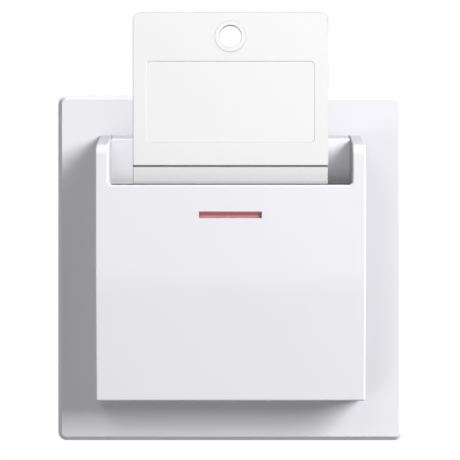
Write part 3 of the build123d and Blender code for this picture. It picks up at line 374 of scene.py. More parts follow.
def worked_metal(name, light, dark, roughness, streak_mm, stretch, spangle_mm):
    """A rolled or drawn metal: streaks along its grain, over patches or crystals of two tones."""
    material, tree, place = start_material(name)
    along = add(tree, "ShaderNodeMapping", {"Vector": place, "Scale": stretch})
    streaks = add(
        tree,
        "ShaderNodeTexNoise",
        {"Vector": along.outputs["Vector"], "Scale": per_feature(streak_mm), "Detail": 4.0},
    )
    crystals = add(tree, "ShaderNodeTexVoronoi", {"Vector": place, "Scale": per_feature(spangle_mm)})
    bath = add(
        tree,
        "ShaderNodeTexNoise",
        {"Vector": place, "Scale": per_feature(BATH_PATCH_MM), "Detail": 4.0},
    )
    share = add(
        tree,
        "ShaderNodeMath",
        {0: bath.outputs["Fac"], 1: crystals.outputs["Color"]},
        operation="MULTIPLY",
    )
    tint = add(
        tree,
        "ShaderNodeMix",
        {0: share.outputs[0], 6: linear(dark), 7: linear(light)},
        data_type="RGBA",
    )
    gloss = add(
        tree,
        "ShaderNodeMapRange",
        {0: streaks.outputs["Fac"], 1: NOISE_LOW, 2: NOISE_HIGH, 3: roughness * 0.8, 4: roughness * 1.25},
    )
    relief = add(
        tree,
        "ShaderNodeBump",
        {"Height": streaks.outputs["Fac"], "Distance": 0.004 * MM, "Strength": 0.6},
    )
    surface = add(
        tree,
        "ShaderNodeBsdfPrincipled",
        {"Base Color": tint.outputs[2], "Roughness": gloss.outputs[0], "Normal": relief.outputs[0],
         "Metallic": 1.0},
    )
    add(tree, "ShaderNodeOutputMaterial", {"Surface": surface.outputs[0]})
    return material


STREAK = 0.06                   # a streak's width over its length
ALONG_X, ALONG_Y, ALONG_Z = (STREAK, 1.0, 1.0), (1.0, STREAK, 1.0), (1.0, 1.0, STREAK)

# Zinc-plated steel sheet: a cool grey, softly bright, with small crystals and rolling streaks.
zinc_sheet = worked_metal(
    "zinc_plated_steel_sheet", "#d3d6da", "#a9adb2",
    roughness=0.34, streak_mm=0.5, stretch=ALONG_X, spangle_mm=2.4,
)

# Bright zinc on cold-headed screws: smoother and lighter than the sheet.
zinc_screw = worked_metal(
    "zinc_plated_headed_steel", "#d8dadd", "#b2b5b9",
    roughness=0.26, streak_mm=0.3, stretch=ALONG_Y, spangle_mm=0.9,
)

# Hardened spring strip and wire: darker and sharper in its highlights, drawn along its length.
spring_steel = worked_metal(
    "drawn_spring_steel", "#b6b8bc", "#94969b",
    roughness=0.24, streak_mm=0.25, stretch=ALONG_Z, spangle_mm=1.2,
)

# Rolled brass strip: a warm yellow that dulls in patches.
brass = worked_metal(
    "rolled_brass", "#e0c27c", "#bf9850",
    roughness=0.3, streak_mm=0.35, stretch=ALONG_Z, spangle_mm=1.8,
)

# Silver contact faces: pale and satin, a little yellowed by use.
contact_silver = worked_metal(
    "satin_contact_silver", "#e6e5e0", "#cbc8bd",
    roughness=0.32, streak_mm=0.2, stretch=ALONG_X, spangle_mm=0.7,
)

# Tinned copper wire: soft grey, smooth and slightly dull.
tinned_copper = worked_metal(
    "tinned_copper_wire", "#d2d3d2", "#b7b8b6",
    roughness=0.3, streak_mm=0.2, stretch=ALONG_X, spangle_mm=0.8,
)


def circuit_laminate():
    """Epoxy glass board: dark green lacquer over the weave of the glass, threads 0.5 mm apart."""
    material, tree, place = start_material("epoxy_glass_laminate")
    warp, weft = (
        add(
            tree,
            "ShaderNodeTexWave",
            {"Vector": place, "Scale": per_band(0.5), "Distortion": 0.6},
            wave_type="BANDS",
            bands_direction=direction,
        )
        for direction in ("X", "Z")
    )
    weave = add(
        tree, "ShaderNodeMath", {0: warp.outputs["Fac"], 1: weft.outputs["Fac"]}, operation="MAXIMUM"
    )
    tint = add(
        tree,
        "ShaderNodeMix",
        {0: weave.outputs[0], 6: linear("#1f4a2c"), 7: linear("#2f6a41")},
        data_type="RGBA",
    )
    relief = add(tree, "ShaderNodeBump", {"Height": weave.outputs[0], "Distance": 0.01 * MM})
    surface = add(
        tree,
        "ShaderNodeBsdfPrincipled",
        {"Base Color": tint.outputs[2], "Normal": relief.outputs[0], "Roughness": 0.32, "IOR": 1.55},
    )
    add(tree, "ShaderNodeOutputMaterial", {"Surface": surface.outputs[0]})
    return material


def resistor_lacquer():
    """Lacquered film resistor: a biscuit body with four plain rings round it."""
    material, tree, place = start_material("lacquered_film_resistor")
    along = add(tree, "ShaderNodeSeparateXYZ", {"Vector": place})
    low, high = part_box("lamp_resistor")
    share = add(tree, "ShaderNodeMapRange", {0: along.outputs["X"], 1: low.x, 2: high.x})
    rings = add(tree, "ShaderNodeValToRGB", {"Fac": share.outputs[0]})
    body = "#cdb284"
    rings.color_ramp.interpolation = "CONSTANT"
    rings.color_ramp.elements[0].color = linear(body)
    rings.color_ramp.elements[1].position = 0.2
    rings.color_ramp.elements[1].color = linear("#a86a32")
    for position, colour in (
        (0.28, body), (0.38, "#2c2a2a"), (0.46, body), (0.56, "#d98a35"), (0.64, body),
        (0.82, "#b99a4c"), (0.9, body),
    ):
        rings.color_ramp.elements.new(position).color = linear(colour)
    runs = add(tree, "ShaderNodeTexNoise", {"Vector": place, "Scale": per_feature(1.2), "Detail": 2.0})
    relief = add(tree, "ShaderNodeBump", {"Height": runs.outputs["Fac"], "Distance": 0.01 * MM})
    surface = add(
        tree,
        "ShaderNodeBsdfPrincipled",
        {"Base Color": rings.outputs["Color"], "Normal": relief.outputs[0], "Roughness": 0.35,
         "IOR": 1.5},
    )
    add(tree, "ShaderNodeOutputMaterial", {"Surface": surface.outputs[0]})
    return material


pvc_edge_painted_shade = card_edge()
red_lens = red_polycarbonate()
acrylic = clear_material("extruded_clear_acrylic", "#eef3f6", roughness=0.04, ior=1.49, streak_mm=1.0)
lamp_glass = clear_material("drawn_lamp_glass", "#f2efe9", roughness=0.02, ior=1.52, streak_mm=1.5)
laminate = circuit_laminate()
lacquer = resistor_lacquer()


# Pieces that stand for the CAD nodes
MERGE = 0.0001 * MM             # loose corners nearer than this are one corner
ONE_FLAT = 0.3                  # degrees: faces that turn by less are one flat face
REAL_EDGE = 28                  # degrees: an edge that turns by more is a real edge
FINISHED_SHARP = 35             # degrees: on a finished copy, an edge that turns by more stays sharp
GROWN_SHARP = 40                # degrees: the same on a piece that Geometry Nodes makes
WINDOW_EASE = 0.05 * MM         # how far the frame's window is drawn in
WINDOW_GAP = 0.5 * MM           # the window's corners lie nearer to the cover than this
WINDOW_EDGE = 1.0 * MM          # the window's edges lie nearer to the cover than this
FACE_DEPTH = 1.0 * MM           # the frame's front edges lie within this of its front
SIDE_DEPTH = 0.5 * MM           # the frame's outer edges lie within this of its sides
CARD_RIM = 2.0 * MM             # the card's outline lies within this of its sides and top
TURNED = 0.96                   # a face whose normal points less than this forward or back is a rim

cover_low, cover_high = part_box("front_cover")
frame_low, frame_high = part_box("outer_frame")
card_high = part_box("card_body")[1]


def smooth(mesh, degrees_kept_sharp):
    """Shade a mesh smooth, apart from its real edges, and drop normals kept from an older shape."""
    kept = mesh.attributes.get("custom_normal")
    if kept:
        mesh.attributes.remove(kept)
    mesh.shade_smooth()
    mesh.set_sharp_from_angle(angle=math.radians(degrees_kept_sharp))


def clean_copy(node):
    """Copy a node's mesh as one closed surface, with each flat face in one piece."""
    work = bmesh.new()
    work.from_mesh(cad[node].data)
    bmesh.ops.remove_doubles(work, verts=work.verts, dist=MERGE)
    bmesh.ops.dissolve_limit(
        work,
        angle_limit=math.radians(ONE_FLAT),
        verts=work.verts,
        edges=work.edges,
        delimit={"NORMAL"},
    )
    return work


def round_edges(work, edge_mm, segments, chosen):
    """Round a copy's real edges, or only those of them that chosen tells."""
    bmesh.ops.bevel(
        work,
        geom=[
            e for e in work.edges
            if e.is_manifold
            and e.calc_face_angle() > math.radians(REAL_EDGE)
            and (not chosen or chosen(e))
        ],
        offset=edge_mm * MM,
        offset_type="OFFSET",
        segments=segments,
        profile=0.5,
        affect="EDGES",
        clamp_overlap=True,
        loop_slide=True,
    )


def close_to_hairline(work):
    """Draw the frame's window in until only a hairline is left beside and above the cover."""
    for corner in work.verts:
        if max(abs(corner.co.x), abs(corner.co.z)) < cover_high.x + WINDOW_GAP:
            corner.co.x -= math.copysign(WINDOW_EASE, corner.co.x)
            if corner.co.z > 0:
                corner.co.z -= WINDOW_EASE


def finish(node, material, edge_mm, segments=2, chosen=None, second=None, ease=None):
    """Stand for a node with a copy whose real edges are rounded; second tells faces of another finish."""
    work = clean_copy(node)
    if ease:
        ease(work)
    if edge_mm:
        round_edges(work, edge_mm, segments, chosen)
    mesh = bpy.data.meshes.new(node + "_finished")
    work.to_mesh(mesh)
    work.free()
    mesh.materials.clear()
    mesh.materials.append(material)
    if second:
        other, belongs = second
        mesh.materials.append(other)
        for face in mesh.polygons:
            face.material_index = int(belongs(face))
    smooth(mesh, FINISHED_SHARP)
    piece = bpy.data.objects.new(node + "_finished", mesh)
    scene.collection.objects.link(piece)
    weighted = piece.modifiers.new("even_flats", "WEIGHTED_NORMAL")
    weighted.keep_sharp = True
    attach(piece, body_of_node[node])
    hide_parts(node)
    return piece


MOUTH_DEPTH = 11.9 * MM         # from the ears' tops down to the front plate
LIP_SET_BACK = 1.3 * MM         # from the front plate's face to the lip behind its edge
LIP_REACH = 3.0 * MM            # from the front plate's face to the space behind the lip
LIP_FOOT = 0.02 * MM            # the lip stands from here
LIP_TOP = 0.3 * MM              # to here above the front plate's edge
LIP_HALF_WIDTH = 20.0 * MM      # the middles of the lip's faces lie within this
plate_top = cover_high.z - MOUTH_DEPTH


def on_mouth_lip(face):
    """Tell the thin lip behind the front plate's edge from the rest of the cover."""
    return (
        plate_top + LIP_FOOT < face.center.z < plate_top + LIP_TOP
        and cover_low.y + LIP_SET_BACK < face.center.y < cover_low.y + LIP_REACH
        and abs(face.center.x) < LIP_HALF_WIDTH
    )


def turned_from_front(face):
    """Tell the rims and walls of a flat piece from its two faces."""
    return abs(face.normal.y) < TURNED


def on_card_outline(face):
    """Tell the card's punched outline from its faces, its step and the label's recess."""
    near_rim = abs(face.center.x) > card_high.x - CARD_RIM or face.center.z > card_high.z - CARD_RIM
    return turned_from_front(face) and near_rim


def on_frame_outside(edge):
    """Tell the frame's outer edges from its window's, which fit close, and from those of its thin ribs."""
    middle = (edge.verts[0].co + edge.verts[1].co) / 2
    reach = max(abs(middle.x), abs(middle.z))
    on_front = middle.y < frame_low.y + FACE_DEPTH and reach > cover_high.x + WINDOW_EDGE
    return on_front or reach > frame_high.x - SIDE_DEPTH


finish("outer_frame", white_abs, 0.12, 3, chosen=on_frame_outside, ease=close_to_hairline)
# The lip behind the front plate's edge is painted dark grey as painted shade.
cover_piece = finish("front_cover", white_abs, 0, second=(lip_painted_shade_abs, on_mouth_lip))
finish("card_guide", guide_abs_painted_shade, 0.04, 2)
finish("indicator_lens", red_lens, 0.08)
finish("light_bar", acrylic, 0.08)
for node, material, edge_mm in (
    ("grip_spring_left", spring_steel, 0.05),
    ("grip_spring_right", spring_steel, 0.05),
    ("card_follower", grey_polyamide, 0.15),
    ("mechanism_lid", grey_polyamide, 0.15),
    ("mechanism_base", grey_polyamide, 0.2),
    ("support_plate", zinc_sheet, 0.12),
    ("rocker", orange_acetal, 0.2),
    ("rocker_axle", brass, 0.12),
    ("moving_contact", brass, 0.06),
    ("moving_contact_tips", contact_silver, 0.15),
    ("on_contact", brass, 0.08),
    ("on_contact_tip", contact_silver, 0.15),
    ("off_contact", brass, 0.08),
    ("off_contact_tip", contact_silver, 0.15),
    ("common_contact", brass, 0.08),
    ("terminal_line", brass, 0.2),
    ("terminal_neutral", brass, 0.2),
    ("terminal_load", brass, 0.2),
    ("neutral_strip", brass, 0.08),
    ("lamp_leads", tinned_copper, 0.06),
    ("lamp_board", laminate, 0.06),
    ("lamp_resistor", lacquer, 0.1),
    ("lamp_tube", lamp_glass, 0.1),
    ("claw_upper", zinc_sheet, 0.1),
    ("claw_lower", zinc_sheet, 0.1),
    ("claw_pin_upper", zinc_screw, 0.08),
    ("claw_pin_lower", zinc_screw, 0.08),
):
    finish(node, material, edge_mm)

# The card's grey outline and the eyelet's grey rim are painted shade.
# The photo shows no shadow of the card on the frame behind it.
card_pieces = (
    finish("card_body", pvc_card_painted_shade, 0.16, 2, second=(pvc_edge_painted_shade, on_card_outline)),
    finish("card_label", paper_insert, 0.05),
    finish("card_eyelet", white_polypropylene, 0.08, 2, second=(pvc_edge_painted_shade, turned_from_front)),
)
for card_piece in card_pieces:
    card_piece.visible_shadow = False


# What repeats: screws, rivets and the coils of the return spring
def new_geometry_tree(name, *inputs):
    """Start a geometry tree with named inputs, each a name, a kind and a value or None."""
    tree = bpy.data.node_groups.new(name, "GeometryNodeTree")
    for label, kind, value in inputs:
        socket = tree.interface.new_socket(label, in_out="INPUT", socket_type="NodeSocket" + kind)
        if value is not None:
            socket.default_value = value
    tree.interface.new_socket("Geometry", in_out="OUTPUT", socket_type="NodeSocketGeometry")
    return tree, add(tree, "NodeGroupInput").outputs


def end_tree(tree, geometry, material):
    """End a geometry tree with real geometry in its material."""
    real = add(tree, "GeometryNodeRealizeInstances", {"Geometry": geometry})
    dressed = add(tree, "GeometryNodeSetMaterial", {"Geometry": real.outputs[0], "Material": material})
    add(tree, "NodeGroupOutput", {"Geometry": dressed.outputs[0]})


def grow(name, tree, seats, **values):
    """Give the plain mesh that a tree makes on its seats, as a new object at the origin."""
    holder = bpy.data.objects.new(name, bpy.data.meshes.new(name + "_seats"))
    scene.collection.objects.link(holder)
    holder.data.from_pydata([tuple(seat) for seat in seats], [], [])
    nodes = holder.modifiers.new("grown", "NODES")
    nodes.node_group = tree
    for item in tree.interface.items_tree:
        if item.in_out == "INPUT" and item.name.replace(" ", "_").lower() in values:
            nodes[item.identifier] = values[item.name.replace(" ", "_").lower()]
    holder.update_tag()
    evaluated = holder.evaluated_get(bpy.context.evaluated_depsgraph_get())
    mesh = bpy.data.meshes.new_from_object(evaluated)
    holder.modifiers.clear()
    mesh.name = name
    holder.data = mesh
    smooth(mesh, GROWN_SHARP)
    return holder


def domed_disc_tree():
    """A round head on z = 0 that rises to a soft rim and a low dome."""
    tree, given = new_geometry_tree(
        "domed_disc", ("Radius", "Float", MM), ("Height", "Float", MM), ("Dome", "Float", 0.0)
    )
    steepness, drawn_in = 5.0, 0.12       # how late the rim turns in, and by what share of the radius
    disc = add(
        tree,
        "GeometryNodeMeshCylinder",
        {"Vertices": 40, "Side Segments": 6, "Fill Segments": 6, "Radius": given["Radius"],
         "Depth": given["Height"]},
        fill_type="TRIANGLE_FAN",
    )
    place = add(tree, "GeometryNodeInputPosition")
    parts = add(tree, "ShaderNodeSeparateXYZ", {"Vector": place.outputs[0]})
    rise = add(
        tree, "ShaderNodeMath", {0: parts.outputs["Z"], 1: given["Height"]}, operation="DIVIDE"
    )
    share = add(tree, "ShaderNodeMath", {0: rise.outputs[0], 1: 0.5}, operation="ADD")
    steep = add(tree, "ShaderNodeMath", {0: share.outputs[0], 1: steepness}, operation="POWER")
    pinch = add(
        tree, "ShaderNodeMath", {0: steep.outputs[0], 1: -drawn_in, 2: 1.0}, operation="MULTIPLY_ADD"
    )
    flat = add(tree, "ShaderNodeCombineXYZ", {"X": parts.outputs["X"], "Y": parts.outputs["Y"]})
    reach = add(tree, "ShaderNodeVectorMath", {0: flat.outputs[0]}, operation="LENGTH")
    radial = add(
        tree, "ShaderNodeMath", {0: reach.outputs["Value"], 1: given["Radius"]}, operation="DIVIDE"
    )
    square = add(tree, "ShaderNodeMath", {0: radial.outputs[0], 1: 2.0}, operation="POWER")
    hollow = add(tree, "ShaderNodeMath", {0: square.outputs[0], 1: given["Dome"]}, operation="MULTIPLY")
    drop = add(
        tree, "ShaderNodeMath", {0: hollow.outputs[0], 1: share.outputs[0]}, operation="MULTIPLY"
    )
    level = add(
        tree, "ShaderNodeMath", {0: share.outputs[0], 1: given["Height"]}, operation="MULTIPLY"
    )
    height = add(
        tree, "ShaderNodeMath", {0: level.outputs[0], 1: drop.outputs[0]}, operation="SUBTRACT"
    )
    pinched = add(
        tree, "ShaderNodeVectorMath", {0: flat.outputs[0], "Scale": pinch.outputs[0]}, operation="SCALE"
    )
    spread = add(tree, "ShaderNodeSeparateXYZ", {"Vector": pinched.outputs[0]})
    moved = add(
        tree,
        "ShaderNodeCombineXYZ",
        {"X": spread.outputs["X"], "Y": spread.outputs["Y"], "Z": height.outputs[0]},
    )
    shaped = add(
        tree,
        "GeometryNodeSetPosition",
        {"Geometry": disc.outputs["Mesh"], "Position": moved.outputs[0]},
    )
    add(tree, "NodeGroupOutput", {"Geometry": shaped.outputs[0]})
    return tree


domed_disc = domed_disc_tree()


def stand_on_seats(tree, seats, piece, direction, seed):
    """Set a piece on every seat along a direction, each turned by chance about its own axis."""
    turn = add(
        tree, "FunctionNodeRandomValue", {2: 0.0, 3: 2 * math.pi, "Seed": seed}, data_type="FLOAT"
    )
    about = add(tree, "ShaderNodeCombineXYZ", {"Z": turn.outputs[1]})
    spin = add(tree, "FunctionNodeEulerToRotation", {0: about.outputs[0]})
    upright = add(tree, "FunctionNodeAlignRotationToVector", {"Vector": direction}, axis="Z")
    both = add(
        tree,
        "FunctionNodeRotateRotation",
        {"Rotation": upright.outputs[0], "Rotate By": spin.outputs[0]},
        rotation_space="LOCAL",
    )
    return add(
        tree,
        "GeometryNodeInstanceOnPoints",
        {"Points": seats, "Instance": piece, "Rotation": both.outputs[0]},
    ).outputs[0]


def threaded_screw_tree():
    """A slotted screw on every seat: a domed head, and a shank with a real thread under it."""
    tree, given = new_geometry_tree(
        "threaded_screw",
        ("Seats", "Geometry", None),
        ("Head direction", "Vector", (0.0, 0.0, 1.0)),
        ("Head radius", "Float", MM),
        ("Head height", "Float", MM),
        ("Slot width", "Float", MM),
        ("Slot depth", "Float", MM),
        ("Shank radius", "Float", MM),
        ("Shank length", "Float", MM),
        ("Thread pitch", "Float", MM),
        ("Thread depth", "Float", MM),
        ("Rings", "Int", 60),
        ("Seed", "Int", 1),
        ("Material", "Material", None),
    )
    dome_share, tip_share = 0.3, 0.45     # of the head's height, and of the shank's radius
    dome = add(tree, "ShaderNodeMath", {0: given["Head height"], 1: dome_share}, operation="MULTIPLY")
    head = add(
        tree,
        "GeometryNodeGroup",
        {"Radius": given["Head radius"], "Height": given["Head height"], "Dome": dome.outputs[0]},
        node_tree=domed_disc,
    )
    across = add(tree, "ShaderNodeMath", {0: given["Head radius"], 1: 3.0}, operation="MULTIPLY")
    deep = add(tree, "ShaderNodeMath", {0: given["Slot depth"], 1: 2.0}, operation="MULTIPLY")
    slot_size = add(
        tree,
        "ShaderNodeCombineXYZ",
        {"X": across.outputs[0], "Y": given["Slot width"], "Z": deep.outputs[0]},
    )
    cutter = add(tree, "GeometryNodeMeshCube", {"Size": slot_size.outputs[0]})
    at_top = add(tree, "ShaderNodeCombineXYZ", {"Z": given["Head height"]})
    lifted = add(
        tree,
        "GeometryNodeTransform",
        {"Geometry": cutter.outputs["Mesh"], "Translation": at_top.outputs[0]},
    )
    slotted = add(
        tree,
        "GeometryNodeMeshBoolean",
        {"Mesh 1": head.outputs[0], "Mesh 2": lifted.outputs[0]},
        operation="DIFFERENCE",
        solver="EXACT",
    )
    shank = add(
        tree,
        "GeometryNodeMeshCylinder",
        {"Vertices": 24, "Side Segments": given["Rings"], "Fill Segments": 1,
         "Radius": given["Shank radius"], "Depth": given["Shank length"]},
        fill_type="TRIANGLE_FAN",
    )
    place = add(tree, "GeometryNodeInputPosition")
    parts = add(tree, "ShaderNodeSeparateXYZ", {"Vector": place.outputs[0]})
    turns = add(
        tree, "ShaderNodeMath", {0: parts.outputs["Z"], 1: given["Thread pitch"]}, operation="DIVIDE"
    )
    angle = add(
        tree, "ShaderNodeMath", {0: parts.outputs["Y"], 1: parts.outputs["X"]}, operation="ARCTAN2"
    )
    phase = add(
        tree,
        "ShaderNodeMath",
        {0: angle.outputs[0], 1: -1 / (2 * math.pi), 2: turns.outputs[0]},
        operation="MULTIPLY_ADD",
    )
    groove = add(tree, "ShaderNodeMath", {0: phase.outputs[0], 1: 1.0}, operation="PINGPONG")
    cut = add(
        tree, "ShaderNodeMath", {0: groove.outputs[0], 1: given["Thread depth"]}, operation="MULTIPLY"
    )
    left = add(
        tree, "ShaderNodeMath", {0: given["Shank radius"], 1: cut.outputs[0]}, operation="SUBTRACT"
    )
    share = add(
        tree, "ShaderNodeMath", {0: left.outputs[0], 1: given["Shank radius"]}, operation="DIVIDE"
    )
    half = add(tree, "ShaderNodeMath", {0: given["Shank length"], 1: 0.5}, operation="MULTIPLY")
    from_tip = add(
        tree, "ShaderNodeMath", {0: parts.outputs["Z"], 1: half.outputs[0]}, operation="ADD"
    )
    taper = add(
        tree,
        "ShaderNodeMapRange",
        {0: from_tip.outputs[0], 1: 0.0, 2: given["Shank radius"], 3: tip_share, 4: 1.0},
    )
    narrow = add(
        tree, "ShaderNodeMath", {0: share.outputs[0], 1: taper.outputs[0]}, operation="MULTIPLY"
    )
    factors = add(
        tree, "ShaderNodeCombineXYZ", {"X": narrow.outputs[0], "Y": narrow.outputs[0], "Z": 1.0}
    )
    wound = add(
        tree,
        "ShaderNodeVectorMath",
        {0: place.outputs[0], 1: factors.outputs[0]},
        operation="MULTIPLY",
    )
    threaded = add(
        tree,
        "GeometryNodeSetPosition",
        {"Geometry": shank.outputs["Mesh"], "Position": wound.outputs[0]},
    )
    under = add(tree, "ShaderNodeMath", {0: half.outputs[0], 1: -1.0}, operation="MULTIPLY")
    below = add(tree, "ShaderNodeCombineXYZ", {"Z": under.outputs[0]})
    hung = add(
        tree,
        "GeometryNodeTransform",
        {"Geometry": threaded.outputs[0], "Translation": below.outputs[0]},
    )
    whole = add(tree, "GeometryNodeJoinGeometry", {0: [slotted.outputs["Mesh"], hung.outputs[0]]})
    placed = stand_on_seats(
        tree, given["Seats"], whole.outputs[0], given["Head direction"], given["Seed"]
    )
    end_tree(tree, placed, given["Material"])
    return tree


def rivet_tree():
    """A rivet on every seat: a low domed head, its shank, and the flattened end behind the sheet."""
    tree, given = new_geometry_tree(
        "domed_rivet",
        ("Seats", "Geometry", None),
        ("Head direction", "Vector", (0.0, 0.0, 1.0)),
        ("Head radius", "Float", MM),
        ("Head height", "Float", MM),
        ("Shank radius", "Float", MM),
        ("Grip", "Float", MM),
        ("Tail radius", "Float", MM),
        ("Tail height", "Float", MM),
        ("Seed", "Int", 1),
        ("Material", "Material", None),
    )
    ends = []
    for radius, height, dome_share in (
        ("Head radius", "Head height", 0.55),
        ("Tail radius", "Tail height", 0.25),
    ):
        dome = add(tree, "ShaderNodeMath", {0: given[height], 1: dome_share}, operation="MULTIPLY")
        sizes = {"Radius": given[radius], "Height": given[height], "Dome": dome.outputs[0]}
        ends.append(add(tree, "GeometryNodeGroup", sizes, node_tree=domed_disc).outputs[0])
    back = add(tree, "ShaderNodeMath", {0: given["Grip"], 1: -1.0}, operation="MULTIPLY")
    behind = add(tree, "ShaderNodeCombineXYZ", {"Z": back.outputs[0]})
    tail = add(
        tree,
        "GeometryNodeTransform",
        {"Geometry": ends[1], "Translation": behind.outputs[0], "Rotation": (math.pi, 0.0, 0.0)},
    )
    middle = add(tree, "ShaderNodeMath", {0: given["Grip"], 1: -0.5}, operation="MULTIPLY")
    between = add(tree, "ShaderNodeCombineXYZ", {"Z": middle.outputs[0]})
    shank = add(
        tree,
        "GeometryNodeMeshCylinder",
        {"Vertices": 32, "Side Segments": 1, "Fill Segments": 1, "Radius": given["Shank radius"],
         "Depth": given["Grip"]},
    )
    stem = add(
        tree,
        "GeometryNodeTransform",
        {"Geometry": shank.outputs["Mesh"], "Translation": between.outputs[0]},
    )
    whole = add(tree, "GeometryNodeJoinGeometry", {0: [ends[0], tail.outputs[0], stem.outputs[0]]})
    placed = stand_on_seats(
        tree, given["Seats"], whole.outputs[0], given["Head direction"], given["Seed"]
    )
    end_tree(tree, placed, given["Material"])
    return tree


def coil_tree():
    """A compression spring on its seat: open coils between two closed end coils."""
    tree, given = new_geometry_tree(
        "wound_spring",
        ("Seats", "Geometry", None),
        ("Coil radius", "Float", MM),
        ("Wire radius", "Float", MM),
        ("Length", "Float", MM),
        ("Turns", "Float", 9.0),
        ("Closed share", "Float", 0.1),
        ("Material", "Material", None),
    )
    spiral = add(
        tree,
        "GeometryNodeCurveSpiral",
        {"Resolution": 28, "Rotations": given["Turns"], "Start Radius": given["Coil radius"],
         "End Radius": given["Coil radius"], "Height": given["Length"]},
    )
    along = add(tree, "GeometryNodeSplineParameter")
    rest = add(tree, "ShaderNodeMath", {0: 1.0, 1: given["Closed share"]}, operation="SUBTRACT")
    open_part = add(
        tree,
        "ShaderNodeMapRange",
        {0: along.outputs["Factor"], 1: given["Closed share"], 2: rest.outputs[0]},
        interpolation_type="SMOOTHSTEP",
    )
    two_wires = 4.0                       # radii: the height that the two closed ends take up
    closed_rise = add(
        tree, "ShaderNodeMath", {0: given["Wire radius"], 1: two_wires}, operation="MULTIPLY"
    )
    free = add(
        tree, "ShaderNodeMath", {0: given["Length"], 1: closed_rise.outputs[0]}, operation="SUBTRACT"
    )
    climbed = add(
        tree, "ShaderNodeMath", {0: open_part.outputs[0], 1: free.outputs[0]}, operation="MULTIPLY"
    )
    height = add(
        tree,
        "ShaderNodeMath",
        {0: along.outputs["Factor"], 1: closed_rise.outputs[0], 2: climbed.outputs[0]},
        operation="MULTIPLY_ADD",
    )
    place = add(tree, "GeometryNodeInputPosition")
    parts = add(tree, "ShaderNodeSeparateXYZ", {"Vector": place.outputs[0]})
    moved = add(
        tree,
        "ShaderNodeCombineXYZ",
        {"X": parts.outputs["X"], "Y": parts.outputs["Y"], "Z": height.outputs[0]},
    )
    wound = add(
        tree,
        "GeometryNodeSetPosition",
        {"Geometry": spiral.outputs["Curve"], "Position": moved.outputs[0]},
    )
    wire = add(
        tree,
        "GeometryNodeCurvePrimitiveCircle",
        {"Resolution": 10, "Radius": given["Wire radius"]},
        mode="RADIUS",
    )
    swept = add(
        tree,
        "GeometryNodeCurveToMesh",
        {"Curve": wound.outputs[0], "Profile Curve": wire.outputs["Curve"], "Fill Caps": True},
    )
    placed = add(
        tree, "GeometryNodeInstanceOnPoints", {"Points": given["Seats"], "Instance": swept.outputs[0]}
    )
    end_tree(tree, placed.outputs[0], given["Material"])
    return tree


screw_tree = threaded_screw_tree()
TO_FRONT, TO_BACK, DOWN = Vector((0, -1, 0)), Vector((0, 1, 0)), Vector((0, 0, -1))
RINGS_PER_TURN = 8              # rings of corners for each turn of a thread
SLOT_WIDTH, SLOT_DEPTH = 0.6 * MM, 0.4 * MM
THREAD_SHARE = 0.16             # depth of a thread over its shank's radius
COARSE, FINE = 0.7, 0.6         # pitches of the threads in millimetres

# Heads of the screws and rivets: radius and height in millimetres
GUIDE_HEAD, LID_HEAD, TERMINAL_HEAD, CLAW_HEAD = (1.4, 0.8), (1.9, 0.9), (2.3, 1.4), (2.6, 1.7)
RIVET_HEAD, RIVET_TAIL = (2.0, 0.7), (1.6, 0.6)


def set_screws(node, seats, head_direction, head_mm, shank_mm, pitch_mm, seed):
    """Stand for a node's screws: head_mm and shank_mm are a radius and a height or length."""
    screws = grow(
        node + "_finished",
        screw_tree,
        seats,
        head_direction=head_direction,
        head_radius=head_mm[0] * MM,
        head_height=head_mm[1] * MM,
        slot_width=SLOT_WIDTH,
        slot_depth=SLOT_DEPTH,
        shank_radius=shank_mm[0] * MM,
        shank_length=shank_mm[1] * MM,
        thread_pitch=pitch_mm * MM,
        thread_depth=THREAD_SHARE * shank_mm[0] * MM,
        rings=round(RINGS_PER_TURN * shank_mm[1] / pitch_mm),
        seed=seed,
        material=zinc_screw,
    )
    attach(screws, body_of_node[node])
    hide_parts(node)


def corner_seats(node, inset_mm, seat_y):
    """Give the seats of four screws in the corners of a node's box."""
    low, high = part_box(node)
    inset = inset_mm * MM
    return [
        (x, seat_y, z)
        for x in (low.x + inset, high.x - inset)
        for z in (low.z + inset, high.z - inset)
    ]


guide_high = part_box("guide_screws")[1]
guide_seats = corner_seats("guide_screws", GUIDE_HEAD[0], guide_high.y - GUIDE_HEAD[1] * MM)
set_screws("guide_screws", guide_seats, TO_BACK, GUIDE_HEAD, (0.8, 4.9), FINE, seed=3)

lid_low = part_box("lid_screws")[0]
lid_seats = corner_seats("lid_screws", LID_HEAD[0], lid_low.y + LID_HEAD[1] * MM)
set_screws("lid_screws", lid_seats, TO_FRONT, LID_HEAD, (1.0, 9.0), COARSE, seed=5)

terminal_seats = []
screw_low, screw_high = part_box("terminal_screws")
for terminal in ("terminal_line", "terminal_neutral", "terminal_load"):
    low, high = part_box(terminal)
    terminal_seats.append(
        ((low.x + high.x) / 2, (screw_low.y + screw_high.y) / 2, screw_low.z + TERMINAL_HEAD[1] * MM)
    )
terminal_shank = (1.5, (screw_high.z - screw_low.z) / MM - TERMINAL_HEAD[1])
set_screws("terminal_screws", terminal_seats, DOWN, TERMINAL_HEAD, terminal_shank, COARSE, seed=7)

for node, seed in (("claw_screw_upper", 11), ("claw_screw_lower", 13)):
    low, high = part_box(node)
    seat = ((low.x + high.x) / 2, low.y + CLAW_HEAD[1] * MM, (low.z + high.z) / 2)
    claw_shank = (1.45, (high.y - low.y) / MM - CLAW_HEAD[1])
    set_screws(node, [seat], TO_FRONT, CLAW_HEAD, claw_shank, COARSE, seed=seed)

